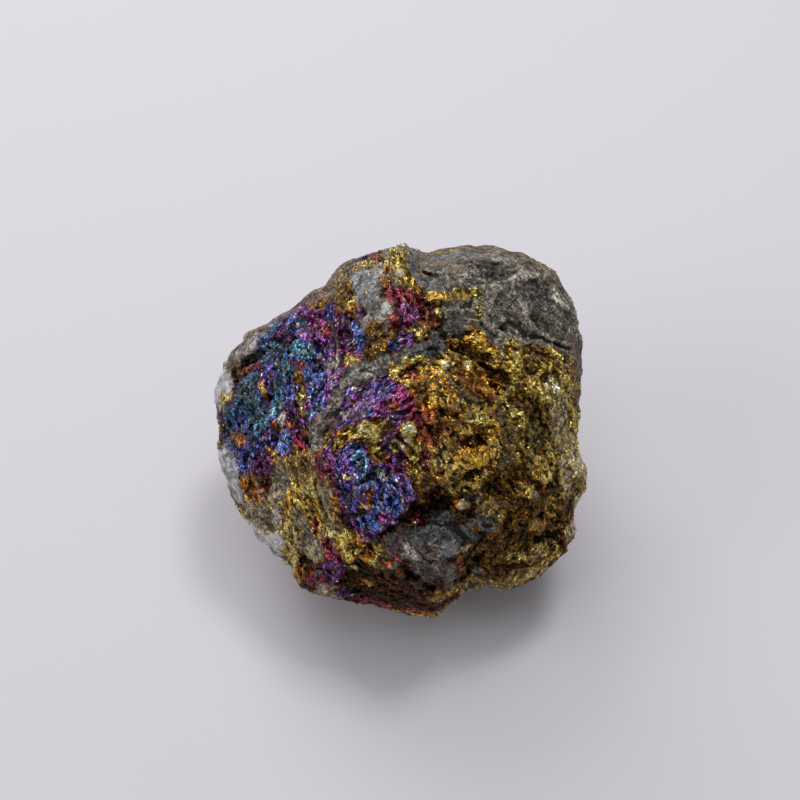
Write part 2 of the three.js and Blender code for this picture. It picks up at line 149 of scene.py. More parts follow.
# Patches, later ones over earlier: tone, how far it reaches, and the points it runs through.
PATCHES = [
    # the broad fields of the crown
    ("olive gold", 13, [(17, 8), (22, -4), (16, -16)]),
    ("amber gold", 8, [(5, 9), (9, 0), (6, -8)]),
    ("blue-grey rock", 6.5, [(5, 26), (13, 26)]),
    ("grey shoulder", 7.5, [(13, 21), (20, 20)]),
    ("grey shoulder", 5, [(24, 22), (27.5, 15), (29, 10)]),
    ("slate blue", 8.5, [(-20, 13), (-20, 2), (-23, -4)]),
    ("purple", 7, [(-13, 17), (-9, 14), (-15, 6)]),
    ("brown rock", 6.5, [(-9, 22), (-4, 20)]),
    ("violet", 6.5, [(-8, 5), (-3, 3)]),
    ("rust", 4.5, [(1, 5), (3, 2.5)]),
    ("streaky brown", 7, [(-17, -5), (-14, -9)]),
    ("streaky gold", 8, [(-18, -12), (-15, -18)]),
    ("purple", 6.5, [(-7, -6), (-4, -12)]),
    # The bottom edge and the lower right are partly their own dark brown, and partly painted shade on faces
    # that turn down and to the front.
    ("black brown", 7.5, [(-12, -25), (-4, -25), (4, -27)]),
    ("dark amber", 9, [(13, -12), (17, -18), (22, -16)]),
    # over the top rim
    ("brown rock", 4.0, [(5, 32), (13, 32.4), (21, 30.6), (26.4, 26.4)]),
    ("grey rock", 3.0, [(29, 21.4), (31, 14), (31.5, 8)]),
    # left rim
    ("beige rind", 2.6, [(-30, -4.5), (-29, -9)]),
    ("dark rock", 3.4, [(-31.4, 4), (-30.6, -1.5)]),
    ("slate blue", 1.4, [(-28, 3), (-27.6, -1.5)]),
    ("quartz", 2.6, [(-31, 9.4), (-29.2, 8.6), (-29, 6.2)]),
    ("tan gold", 0.9, [(-28.6, 4.9), (-27.4, 5.6)]),
    ("blue-grey rock", 0.7, [(-28.6, 3.2)]),
    ("clear quartz", 2.2, [(-30, -4.5), (-28.6, -5), (-27.6, -8), (-26.6, -10)]),
    ("clear quartz", 2.4, [(-24.6, -15.4), (-22, -17.2), (-20.4, -19.8), (-19.4, -21.4)]),
    ("clear quartz", 1.2, [(-22.2, -15.2), (-19.8, -18)]),
    ("beige rind", 2.4, [(-29.4, 11.6), (-26.4, 14), (-23.4, 15.6)]),
    ("beige rind", 1.5, [(-27.2, 10.9), (-25, 12.9), (-22.6, 14.2)]),
    ("pale chip", 0.8, [(-23.6, 13.9), (-22, 13.7)]),
    ("red rind", 3.4, [(-25.6, 17.4), (-21.6, 19.6), (-17.6, 22), (-13.6, 23.6)]),
    ("red rind", 1.7, [(-24, 15.4), (-20.6, 17.4), (-16.6, 19.6), (-13, 21.4)]),
    ("pit", 0.9, [(-25.4, 10.8), (-23.8, 11.6), (-22.6, 12.4)]),
    ("rust", 1.2, [(-26.6, 9.4), (-25.6, 8.9)]),
    ("black brown", 0.6, [(-27.2, 9.8), (-26.9, 7.6)]),
    # left colour face
    ("crimson", 1.1, [(-24.8, 10.2), (-23.4, 9.6)]),
    ("violet", 0.8, [(-22.6, 8.9)]),
    ("indigo", 1.5, [(-21.2, 9.4), (-21.4, 7.4)]),
    ("navy", 2.2, [(-21.2, 13.2), (-19.4, 12.2)]),
    ("deep purple", 1.1, [(-19.6, 15.4), (-17.8, 14.8)]),
    ("bright blue", 1.2, [(-17.5, 16.9), (-16.3, 16.4)]),
    ("bright teal", 1.6, [(-17.3, 13.5), (-14.9, 12.6)]),
    ("sky", 0.7, [(-16.9, 13.8)]),
    ("teal", 1.0, [(-19.2, 10.2), (-18.2, 9.6)]),
    ("dark teal", 2.5, [(-25.4, 7.6), (-24.8, 5.2), (-26.2, 2.2)]),
    ("bright teal", 1.3, [(-19.7, 7), (-20, 5), (-20.3, 3)]),
    ("blue", 1.5, [(-18.1, 6.8), (-18, 4)]),
    ("brown gold", 1.1, [(-15.6, 10), (-16.8, 8.4)]),
    ("olive gold", 0.6, [(-15.3, 10.3), (-16, 9.2)]),
    ("olive", 0.9, [(-16.2, 6.2), (-16.6, 3)]),
    ("tan gold", 0.5, [(-22.9, 7.7), (-22.2, 5.6)]),
    ("rust", 0.6, [(-22, 5.4)]),
    ("bright blue", 1.7, [(-14.3, 9.6), (-13.5, 8), (-14.2, 6.8)]),
    ("violet", 1.4, [(-12.7, 11.8)]),
    ("mauve rock", 1.2, [(-11.8, 10.4), (-11.6, 8.6)]),
    ("bright blue", 1.4, [(-13.3, 4), (-14.2, 2.8)]),
    ("violet", 1.0, [(-11.6, 3.4)]),
    ("deep purple", 1.4, [(-17.6, 2.6), (-17.2, 1)]),
    ("pale rock", 0.6, [(-10.5, 14.2), (-10.3, 12.2), (-10.9, 10.6)]),
    ("pale rock", 0.6, [(-19.3, 2.6), (-19.6, 1.2)]),
    ("orange", 0.6, [(-18.1, 0.9)]),
    ("teal", 1.5, [(-23.4, 2.2), (-22.7, 0.4)]),
    ("blue", 1.2, [(-26, 1.2), (-25.4, 0.4)]),
    ("black brown", 0.8, [(-22, -0.6), (-20.4, 0.2)]),
    ("indigo", 1.8, [(-21.6, -1.4), (-22.7, -3.6)]),
    ("deep purple", 1.4, [(-16.2, 0.6), (-15.4, -1)]),
    ("rust", 0.5, [(-15.8, -0.6)]),
    ("bright blue", 1.5, [(-19.2, -1.4), (-19.4, -2.8)]),
    ("crimson", 0.8, [(-17, -1.6), (-16.4, -2.8)]),
    ("blue", 1.6, [(-25.6, -3.6), (-25.2, -5.4)]),
    ("rusty grey", 1.0, [(-27.2, -1), (-26, -1.8)]),
    ("tan gold", 0.35, [(-21.3, -3.2), (-19.4, -5)]),
    # upper left
    ("magenta", 1.6, [(-13.9, 17.7), (-13.2, 16.3)]),
    ("purple", 1.4, [(-14.8, 15.2), (-13.2, 14.6)]),
    ("crimson", 1.0, [(-12.2, 15.8)]),
    ("umber", 1.3, [(-14.2, 20.4), (-11.8, 21)]),
    ("indigo", 1.5, [(-11.6, 19.3), (-10.6, 18.6)]),
    ("umber", 1.9, [(-10, 22.8), (-8.4, 21.4), (-9, 18.9)]),
    ("gold", 0.5, [(-7.8, 21.6), (-8.8, 18.2)]),
    ("violet", 1.1, [(-6.3, 19.2)]),
    ("deep purple", 1.8, [(-9.6, 16.8), (-8.8, 13.2)]),
    ("bright blue", 1.2, [(-7.9, 16.4), (-6.7, 14.2)]),
    ("sky", 0.6, [(-7, 14.1)]),
    ("magenta", 0.7, [(-8.4, 12)]),
    ("bright gold", 0.9, [(-8.6, 11.2), (-7.6, 10.3)]),
    ("grey vein", 1.1, [(-5.8, 20.6), (-4.4, 17.2)]),
    ("brown gold", 1.5, [(-4.8, 16), (-4.4, 14.6)]),
    ("black brown", 1.5, [(-4.6, 13.2), (-2.8, 13.6)]),
    ("brown gold", 1.1, [(-1.4, 14.8), (-5.4, 12)]),
    ("navy", 1.2, [(-1.2, 13.3)]),
    ("blue-grey rock", 1.9, [(-6.8, 24.8), (-5.6, 22.4)]),
    ("pale slate", 1.0, [(-5.8, 25.4), (-4.4, 24.2)]),
    ("pale slate", 0.9, [(-7.7, 24.8), (-7, 22.8)]),
    ("brown rock", 2.2, [(-12.4, 23.8), (-9.8, 27), (-3.6, 28.8)]),
    ("red rind", 3.2, [(-13, 25.4), (-9.6, 28.8), (-4, 31.4)]),
    ("dark rock", 0.45, [(-12, 22.4), (-9.8, 23.6), (-8.9, 25.6)]),
    ("red rind", 1.2, [(-8.6, 27.2), (-3.4, 29.2)]),
    ("deep purple", 0.8, [(-6.8, 27.4), (-4.4, 28.2)]),
    ("crimson", 0.6, [(-5, 28), (-3.4, 27.2)]),
    ("beige rind", 0.9, [(-4.2, 26.6), (-3.4, 25.2)]),
    # knob and the crimson patch under it
    ("olive", 2.2, [(-0.9, 28.6)]),
    ("olive gold", 1.5, [(-0.9, 27), (0.2, 25.6), (0.6, 23.6)]),
    ("bright gold", 1.0, [(-1.2, 26.4)]),
    ("rust", 0.8, [(-2.4, 25.8)]),
    ("brown rock", 1.3, [(3.2, 28.8), (2.9, 27), (3.2, 25)]),
    ("beige rind", 0.7, [(-0.7, 25.4)]),
    ("rust", 0.7, [(-2.7, 24), (-2.6, 22.8)]),
    ("gold", 1.2, [(1.4, 23.6), (2.8, 22), (3.8, 20.8)]),
    ("grey vein", 0.8, [(-3.1, 22), (-2.8, 19.4)]),
    ("crimson", 2.5, [(-0.6, 21.4), (1.4, 20), (4.2, 18.4)]),
    ("magenta", 1.9, [(1.6, 19), (0.6, 17.6)]),
    ("crimson", 0.8, [(-1.2, 18.6), (-1.4, 16.6)]),
    ("pale chip", 0.45, [(-2.8, 20.2), (-2.2, 19)]),
    ("dark crimson", 0.8, [(4.2, 20.2), (5.4, 18.2)]),
    ("rust", 1.1, [(4.4, 17.4), (3, 16.4)]),
    ("olive gold", 1.3, [(6.4, 19.4), (7.6, 18.2), (9.4, 17.4)]),
    ("olive gold", 1.5, [(2, 15.6), (4, 15)]),
    ("purple", 1.2, [(0.6, 14.6)]),
    ("crimson", 0.7, [(4, 14.2)]),
    # the vein: black lumps, then pale grey and speckled down to the left
    ("black rock", 1.8, [(10.4, 17.2), (7.6, 15.9), (5.8, 14)]),
    ("black rock", 1.4, [(5.2, 13.2), (3.2, 12.3), (1, 11.6)]),
    ("grey vein", 1.5, [(0.6, 11.6), (-2.6, 10.6), (-5.8, 9.3), (-8.6, 8)]),
    ("grey vein", 1.1, [(-8.6, 8), (-10.6, 5.2), (-11.2, 3.4), (-12.9, 1.8), (-14.4, -0.6), (-13.6, -3)]),
    ("pale rock", 0.4, [(-4, 9.8), (-7.6, 8.6)]),
    # grey back slope and shoulder
    ("brown rock", 1.6, [(4.6, 28.6), (9, 29.2), (14, 29), (18.4, 28.4)]),
    ("brown rock", 1.5, [(3.6, 26.6), (6.4, 27), (9, 26.9)]),
    ("brown rock", 1.6, [(20.8, 27), (24, 24)]),
    ("dark rock", 1.3, [(12.4, 26.2), (15, 25.4)]),
    ("black brown", 0.3, [(3.2, 25.4), (5.2, 24.9)]),
    ("tan gold", 0.16, [(5, 25), (7, 24.5)]),
    ("gold plate", 1.1, [(4.6, 21.2), (7, 21.3), (9.8, 21.6)]),
    ("grey rock", 1.5, [(7.6, 19.2), (10.6, 19.6)]),
    ("olive gold", 0.8, [(11.6, 22), (12.6, 21.6)]),
    ("olive gold", 0.4, [(12, 20), (12.6, 18.6), (11.4, 17.8)]),
    ("grey shoulder", 2.2, [(15, 20.6), (16, 18.2)]),
    ("pale rock", 0.8, [(15.2, 22.8), (17.4, 22.2)]),
    ("pale rock", 0.55, [(17.4, 24), (19.8, 25), (22.6, 24.4)]),
    ("green rock", 1.3, [(20.4, 19.8), (20.3, 17.6)]),
    ("dark rock", 2.2, [(21.6, 22.4), (22.8, 18.4)]),
    ("dark rock", 1.6, [(16.4, 20.6), (14.6, 17.4)]),
    ("pale rock", 0.5, [(23.4, 23.8), (24.6, 21.4), (24.2, 20.2), (26.2, 19.6)]),
    ("pale rock", 0.4, [(14, 18.8), (16.4, 17.4), (18.2, 17.8)]),
    ("brown rock", 1.2, [(27.4, 14), (28.6, 10)]),
    ("pit", 0.55, [(12.6, 16.9), (14, 16), (15, 15.2)]),
    ("pit", 0.55, [(16, 16.4), (17, 17.3), (18.6, 16.6), (19.6, 15.6)]),
    ("pit", 0.4, [(20.6, 15.2), (22.2, 14.9), (23.6, 14)]),
    ("pit", 0.4, [(24.4, 13.9), (26.8, 12.9)]),
    ("grey rock", 1.5, [(13.6, 16.2), (15.4, 13.4), (16.8, 10.6), (18, 8.2)]),
    # orange and gold middle
    ("olive", 1.7, [(7.6, -2.4), (7, -5), (7.8, -8.4)]),
    ("orange", 1.8, [(11.4, 15), (12.4, 13.6), (14.2, 11)]),
    ("bright amber", 0.7, [(11.6, 14.6), (12.6, 13)]),
    ("gold", 0.6, [(14, 12.2), (15, 10.8)]),
    ("brown gold", 2.3, [(8.2, 13), (10.2, 11.6), (9.2, 9.4)]),
    ("brown hollow", 0.8, [(8.6, 12.2), (10.6, 12.6), (12.2, 11.2)]),
    ("rust", 2.2, [(10.6, 8.2), (13.4, 6.6)]),
    ("dark amber", 1.2, [(9.6, 10.6), (12.2, 8.4), (14.6, 6.4)]),
    ("brown hollow", 0.8, [(12.4, 9.8), (15, 8.8), (17.2, 7.8)]),
    ("orange", 1.2, [(10.6, 8.6), (12.6, 7.4), (14.2, 7.2)]),
    ("pale gold", 0.7, [(6.8, 10.5)]),
    ("pale gold", 0.7, [(10.3, 10.3)]),
    ("olive gold", 1.9, [(2.6, 10.4), (-0.4, 9)]),
    ("salmon", 1.0, [(1.5, 9.6), (1.3, 8.6)]),
    ("olive gold", 1.3, [(0, 7.2)]),
    ("orange", 1.5, [(4.4, 8), (6.4, 6.6), (7.2, 5.6)]),
    ("bright amber", 1.2, [(6.4, 7), (7.3, 5.4), (5, 5)]),
    ("dark streaks", 0.6, [(7.4, 8), (9.4, 6), (11.2, 4.7), (12.6, 4.4)]),
    ("bright gold", 0.7, [(15.9, 6.4), (17.1, 7)]),
    ("rust", 1.4, [(18.4, 4.6)]),
    ("crimson", 1.4, [(1, 4.4), (2.2, 1.6)]),
    ("orange", 1.1, [(3.6, 3.9)]),
    ("salmon", 0.8, [(4, 2.6)]),
    ("brown gold", 1.5, [(3, 6.6), (5.2, 7.4)]),
    ("brown hollow", 0.7, [(0.8, 6.2), (3.4, 6)]),
    ("crimson", 1.1, [(-0.2, 2.4), (1.6, 2.8)]),
    ("brown gold", 1.6, [(7.4, 2.9), (9.6, 2.2)]),
    ("brown hollow", 0.7, [(6.6, 2.8), (8.6, 2.4)]),
    ("bright gold", 1.0, [(10.6, 2.2), (12.8, 1.5)]),
    ("streaky brown", 0.9, [(15.2, 3.6), (16.6, 0.6), (18, -2)]),
    # violet centre
    ("violet", 2.3, [(-7.4, 5), (-4.4, 4.2)]),
    ("violet", 1.6, [(-8, 4.7), (-6.2, 5)]),
    ("magenta", 0.8, [(-7.4, 4.4), (-6.6, 5.2)]),
    ("indigo", 1.6, [(-3.6, 6.8), (-1.8, 6.6)]),
    ("magenta", 1.5, [(-3, 3.2), (-0.8, 3.6), (-0.6, 5.6)]),
    ("purple", 1.4, [(-0.8, 1.6), (-2.4, 2)]),
    ("salmon", 0.8, [(-1.4, 3.7)]),
    ("mauve rock", 1.4, [(-7.6, 2.4), (-9.8, 1.8)]),
    ("bright blue", 0.8, [(-5.3, 2)]),
    ("violet", 1.0, [(-9.3, 1.2)]),
    ("brown gold", 1.4, [(-9.4, -0.8), (-3.2, 0.4)]),
    ("olive gold", 1.5, [(-8, -1.1), (-6.2, 0), (-4.8, -0.8)]),
    ("pale gold", 0.5, [(-6.4, 0.4), (-5.2, -0.2)]),
    ("pale gold", 1.1, [(1, 0.3), (1, -1)]),
    ("salmon", 1.2, [(3.6, -1), (4.8, -1.4)]),
    ("violet", 0.8, [(-2.6, -1.2), (-2.7, -4)]),
    ("pale gold", 1.0, [(-1.4, -2.2), (-0.4, -3.2)]),
    ("gold", 1.1, [(-4.6, -3.2), (-3.3, -4.2)]),
    ("magenta", 0.6, [(-0.2, -3.8), (0.3, -7)]),
    # right gold face
    ("gold", 2.0, [(17.9, 12.4), (19, 10.2), (18.4, 8)]),
    ("gold", 2.2, [(23.6, 11), (22.3, 9)]),
    ("brown gold", 1.3, [(20.6, 12.6), (22.2, 12)]),
    ("streaky brown", 1.8, [(26.6, 10.4), (27.8, 5)]),
    # These two spots are painted highlights on the gold face.
    ("pale gold", 1.4, [(24.3, 6.7), (23.6, 7.8)]),
    ("bright gold", 1.4, [(19.8, 6.2), (21.6, 7.2)]),
    ("dark gold", 1.8, [(21, 3.2), (23.6, 2.2)]),
    ("pale rock", 0.8, [(25.6, 4.6), (26.2, 2.4)]),
    ("dark gold", 1.4, [(20.6, -0.8), (22, -3)]),
    ("khaki", 1.8, [(25, 3), (25.6, 0), (26.8, -4), (26.8, -9)]),
    ("dark streaks", 1.7, [(15.2, -4), (17, -5.8)]),
    ("dark amber", 1.8, [(17.8, -7.4), (16, -8.6)]),
    # A painted highlight.
    ("bright gold", 1.5, [(21.8, -6), (23, -7.2)]),
    ("pale rim", 2.6, [(29.6, -2), (30.6, -7), (29.4, -12), (28.4, -16)]),
    ("pale rim", 1.7, [(28.4, -1.6), (28.8, -6)]),
    ("pale rim", 1.3, [(28.2, -10.4), (27.6, -13.4), (27, -16.4)]),
    ("streaky brown", 1.3, [(28, -8.6), (28.6, -9.6)]),
    ("pale rim", 2.2, [(27.8, -18), (25.2, -21.8), (22.4, -24.8)]),
    ("orange", 1.6, [(10, -4), (12.3, -3.4)]),
    ("bright amber", 1.3, [(9.6, -5.4), (11.8, -5.7), (13.4, -4.4), (14.6, -2.6)]),
    ("gold", 1.0, [(8.8, -9.4), (11, -8.7), (13.2, -7.4)]),
    ("brown hollow", 0.8, [(8.4, -1.4), (11.2, -2), (12.8, -1.2)]),
    ("brown hollow", 0.7, [(10.4, -7.2), (12.4, -6.4)]),
    ("gold", 1.6, [(2.3, -5.7), (2.6, -3.4)]),
    ("crimson", 0.8, [(3.4, -4), (3.8, -5.6)]),
    ("pale gold", 1.0, [(5.5, -5.3)]),
    ("brown gold", 1.4, [(5.1, -7.4), (3.4, -9)]),
    ("crimson", 0.9, [(4.7, -9.8), (6, -11)]),
    # blue patch
    ("blue", 2.8, [(-8.6, -4.8), (-7, -8), (-3.6, -9.4)]),
    ("blue", 2.6, [(-2, -10), (-3, -12.6), (-6, -14.2)]),
    ("violet", 1.4, [(-9, -4.6), (-8.7, -6)]),
    ("sky", 1.2, [(-7.2, -4), (-6.5, -5.8)]),
    ("dark teal", 1.0, [(-4.2, -6.7)]),
    ("sky", 0.8, [(-3.4, -8.2), (-1.6, -9.4)]),
    ("bright blue", 1.5, [(-1.6, -9), (-4.6, -8.6)]),
    ("indigo", 1.2, [(-0.2, -8.5), (-1.3, -10.8)]),
    ("violet", 0.6, [(-0.4, -8.2)]),
    ("bright blue", 1.2, [(-1.2, -12.6), (-2.4, -11.6)]),
    ("bright blue", 1.4, [(-6.8, -14.4), (-5, -15)]),
    ("indigo", 1.5, [(-8, -11.4), (-9.2, -9.4)]),
    ("deep purple", 1.3, [(-9.4, -13.6), (-8, -15)]),
    ("magenta", 1.1, [(-2.9, -14)]),
    ("purple", 1.4, [(-5.9, -16.6)]),
    ("brown gold", 0.5, [(-5.2, -9.8), (-5.4, -11.6)]),
    ("navy", 0.6, [(-7.3, -8.6), (-5, -7.6)]),
    ("pale gold", 0.45, [(-9.4, -7.5), (-8.4, -7.8)]),
    ("black brown", 0.6, [(-6.3, -13.1), (-8, -13.8)]),
    ("pale gold", 0.45, [(-6.6, -12.2), (-5.6, -12.6)]),
    # front left
    ("tan gold", 2.4, [(-24.2, -8.8), (-23.4, -11.4)]),
    ("rusty grey", 2.2, [(-24.4, -8.6), (-23, -10.6)]),
    ("rust", 1.2, [(-24.8, -8.8), (-24, -11.2)]),
    ("crimson", 0.9, [(-21.8, -8.8), (-20.8, -6.8)]),
    ("deep purple", 1.6, [(-23.2, -5.6), (-21.4, -6)]),
    ("streaky grey", 1.8, [(-19.6, -7.7), (-20, -10.4)]),
    ("streaky grey", 2.6, [(-24, -13.2), (-21.4, -14.2)]),
    ("pale rock", 0.7, [(-20.4, -13), (-20.2, -14.4)]),
    ("amber gold", 1.5, [(-18.3, -12.6), (-17.4, -10.2)]),
    ("streaky grey", 1.3, [(-16.9, -13.4), (-16.6, -15)]),
    ("amber gold", 1.5, [(-14.6, -12), (-14.2, -14.6)]),
    ("streaky brown", 1.3, [(-16, -7.4)]),
    ("crimson", 0.5, [(-14.1, -14.8), (-14, -16.6)]),
    ("streaky grey", 1.5, [(-12.4, -9.4), (-12, -12)]),
    ("rusty grey", 1.5, [(-14, -4.4), (-13.4, -8)]),
    ("dark crimson", 1.0, [(-13.8, -4.8), (-13.4, -7.2)]),
    ("dark crimson", 0.7, [(-11.6, -6), (-11, -8.8)]),
    ("brown gold", 1.1, [(-10.8, -11.6), (-10.8, -13)]),
    ("streaky gold", 1.0, [(-11.8, -14), (-11.9, -16.4)]),
    ("pale gold", 0.9, [(-12.2, -16.7), (-10, -16.9)]),
    ("streaky grey", 2.0, [(-14.4, -19.4), (-15.6, -17.4)]),
    ("bright gold", 2.1, [(-8.6, -18), (-6.6, -19.8)]),
    ("orange", 1.7, [(-7.2, -18.6), (-6.2, -20.6)]),
    ("pale gold", 0.9, [(-8.2, -21.9)]),
    ("crimson", 1.5, [(-11.8, -18.6), (-11.2, -20.6)]),
    ("purple", 2.1, [(-11.2, -22), (-12, -23.4)]),
    ("crimson", 1.4, [(-14.2, -24)]),
    ("streaky gold", 1.6, [(-17.9, -19.6), (-17.4, -23)]),
    ("rust", 1.1, [(-17, -24.8), (-15.8, -22.4)]),
    ("streaky grey", 1.7, [(-15.4, -26.2), (-12.2, -25.8), (-11, -26.8)]),
    # bottom edge
    ("deep purple", 1.2, [(-9.6, -26.2), (-8.6, -26.6)]),
    ("dark crimson", 1.7, [(-6.4, -28.8), (0.4, -30), (4.8, -30.2)]),
    ("crimson", 1.1, [(-6.8, -27.8), (-3, -28.4)]),
    ("brown gold", 1.1, [(-5.6, -24.4)]),
    ("salmon", 0.6, [(-2.3, -21.6)]),
    ("brown gold", 1.6, [(5.6, -27), (8.4, -26)]),
    ("crimson", 1.0, [(3.4, -29.4), (0.4, -29)]),
    # boulder and lower right
    ("boulder", 2.7, [(-0.6, -18.2), (1.6, -18.6), (4.8, -18.4)]),
    ("boulder", 2.2, [(7.2, -18.2), (3.4, -21.4), (5, -23)]),
    ("slate rock", 1.5, [(2, -16.6), (5, -16.4), (8, -17.2)]),
    ("pale rock", 0.5, [(0.4, -18.6), (2.2, -20.4)]),
    ("pale rock", 0.5, [(4.6, -18.2), (6.2, -20.2)]),
    ("crimson", 0.5, [(-1.4, -20.2), (0.6, -22)]),
    ("blue-grey rock", 1.2, [(7, -19.2), (8.6, -18.8)]),
    ("dark rock", 1.2, [(3.7, -23.4), (2.4, -21.8)]),
    ("pale rim", 0.5, [(9.6, -19.2), (10.6, -18.6)]),
    ("black brown", 1.5, [(8.6, -20.8), (9.4, -23.2)]),
    ("rust", 0.6, [(8.9, -20.6), (9.5, -22.8)]),
    ("brown rock", 1.0, [(7.6, -22.2), (7.4, -24.6)]),
    # Painted shadow: black brown in the crease above the boulder, where the terrace over it casts its
    # shadow.
    ("black brown", 1.5, [(1.4, -13.2), (4, -13.2), (7, -12)]),
    ("crimson", 0.9, [(2.4, -13.8), (3.2, -14.6)]),
    ("slate rock", 1.6, [(5.6, -14.6), (8.6, -15.2), (10.6, -17)]),
    ("pale rock", 0.6, [(10.6, -11.4), (11.9, -10.6)]),
    ("white chip", 0.7, [(9.3, -12), (10.2, -12)]),
    ("rust", 0.7, [(8, -11.9)]),
    ("slate rock", 1.8, [(12.4, -13.2), (13.4, -15.2)]),
    ("dark streaks", 1.2, [(11, -11.6), (14.4, -13)]),
    ("streaky brown", 0.9, [(14.6, -11.6), (15.4, -13.8)]),
    ("black brown", 0.9, [(10.4, -13.4), (9.6, -14.2)]),
    ("brown hollow", 1.0, [(17.2, -13.6), (16.7, -15.8)]),
    ("amber", 1.1, [(20.9, -15.2), (22.1, -15.4)]),
    ("brown hollow", 0.8, [(20.4, -17), (22, -17.6)]),
    ("brown hollow", 0.7, [(23.4, -16.4), (25.4, -16)]),
    ("gold", 1.2, [(23.6, -11.6), (24.4, -13.2)]),
    ("gold", 1.0, [(19, -9.6), (20.6, -9.9)]),
    ("streaky grey", 0.8, [(21.3, -10.3)]),
    ("brown hollow", 0.6, [(11.8, -21), (13, -19.4)]),
    ("blue-grey rock", 0.8, [(12.2, -22.6)]),
    ("olive gold", 1.2, [(17, -20), (18.6, -20.4)]),
    ("olive", 1.6, [(21.4, -19.4), (23.6, -19.6)]),
    ("streaky gold", 1.5, [(18.5, -23.4), (22.2, -22.6)]),
    ("gold", 0.9, [(23, -21), (24.6, -20.2)]),
    ("streaky brown", 1.6, [(13, -25), (16.4, -25)]),
]

# Forms finer than the solid's own: how far each stands out (or in, below 0), how far it
# reaches, and its points.
FORMS = [
    # rinds and quartz on the left rim
    (0.9, 1.7, [(-24.2, 15.6), (-20.6, 17.8), (-16.6, 20), (-13, 21.8)]),
    (0.6, 1.4, [(-27.8, 10.9), (-25.4, 13.2), (-22.8, 14.3)]),
    (-0.6, 0.7, [(-25.4, 10.8), (-23.8, 11.6), (-22.6, 12.4)]),
    (0.6, 1.5, [(-29.6, 8.8), (-29.2, 6)]),
    (-0.4, 0.4, [(-27.2, 9.9), (-27, 7.8), (-27.8, 5.4)]),
    (0.35, 1.2, [(-28.8, -4.6), (-27.6, -8), (-26.4, -10.4)]),
    (0.4, 1.2, [(-23.4, -15.2), (-21, -17.6), (-19.6, -20.6)]),
    # ledges and cracks of the grey rock
    (-0.8, 0.45, [(12.6, 16.9), (14, 16), (15, 15.2)]),
    (-0.9, 0.42, [(16, 16.4), (17, 17.3), (18.6, 16.6), (19.6, 15.6)]),
    (-0.6, 0.35, [(20.6, 15.2), (22.2, 14.9), (23.6, 14)]),
    (-0.6, 0.35, [(24.4, 13.9), (26.8, 12.9)]),
    (0.5, 1.1, [(14.8, 19), (16.6, 17.6), (18.6, 17.8), (20.4, 16.4)]),
    (0.45, 0.9, [(15.2, 22.9), (17.5, 23.6), (20, 24.8), (23, 24.2)]),
    (0.4, 0.6, [(24.2, 22.8), (24.6, 20.8), (26.2, 19.6)]),
    (0.4, 1.3, [(20.4, 19.6)]),
    (-0.3, 0.3, [(3.2, 25.4), (5.4, 24.9)]),
    (-0.2, 0.4, [(10, 24), (13.6, 23.4), (16, 24.6)]),
    (0.45, 1.0, [(4.6, 21.3), (7, 21.3), (9.6, 21.2)]),
    (-0.5, 0.5, [(5, 20), (8.2, 20), (10.6, 20.4)]),
    # the vein
    (0.6, 1.1, [(10.2, 17.2), (7.6, 15.9)]),
    (0.5, 1.0, [(5.6, 13.8), (3.2, 12.4), (1, 11.6)]),
    (-0.7, 0.5, [(6.4, 15), (5, 15.2)]),
    (0.15, 0.9, [(-2.6, 10.6), (-5.8, 9.3), (-8.6, 8), (-10.6, 5.2)]),
    # hollows of the gold middle
    (-0.35, 0.9, [(8.6, 12.2), (10.6, 12.6), (12.2, 11.2)]),
    (-0.5, 0.7, [(12.4, 9.8), (15, 8.8), (17.2, 7.8)]),
    (-0.45, 0.7, [(6.6, 2.8), (8.6, 2.4)]),
    (-0.25, 0.8, [(8.4, -1.4), (11.2, -2), (12.8, -1.2)]),
    (-0.3, 0.6, [(10.4, -7.2), (12.4, -6.4)]),
    (0.5, 1.1, [(10, -4), (12.4, -4.4), (14.4, -2.6)]),
    (0.4, 1.2, [(-8, -1.1), (-6.2, 0), (-4.8, -0.8)]),
    (0.4, 0.8, [(1, 0.3), (1, -1)]),
    (0.6, 1.6, [(-7.8, 5), (-6.2, 4.8)]),
    # blue patch and what lies beside it
    (-0.3, 0.5, [(-7.3, -8.6), (-5, -7.6)]),
    (-0.4, 0.6, [(-6.3, -13.1), (-8, -13.8)]),
    (0.5, 1.3, [(0.2, -8), (0, -11), (-1.6, -13.6), (-4, -16)]),
    (-1.0, 1.1, [(1.8, -13.2), (4, -13), (7, -12)]),
    # boulder
    (-0.6, 0.6, [(-3.4, -16.4), (-1, -15.2), (1.2, -15.2)]),
    (-0.6, 0.5, [(1.6, -16), (4.4, -15), (8, -15.4), (9.8, -17.2)]),
    (-0.7, 0.6, [(-4, -19.6), (-1, -21.8), (2, -23.8), (5, -25.4)]),
    (0.4, 1.0, [(7, -19.2), (8.6, -18.8)]),
    # lower right
    (0.5, 1.5, [(20.9, -15.2), (22.1, -15.4)]),
    (0.6, 0.8, [(9.2, -12), (10.3, -12)]),
    (-0.9, 0.8, [(17.2, -13.6), (16.7, -15.8)]),
    (-0.9, 0.6, [(20.4, -17), (22, -17.6), (25.4, -16.4)]),
    (-0.7, 0.6, [(11.8, -21), (13, -19.4)]),
    (1.5, 2.4, [(10.8, -25.3)]),
    (-1.1, 2.4, [(16.8, -26.2)]),
]

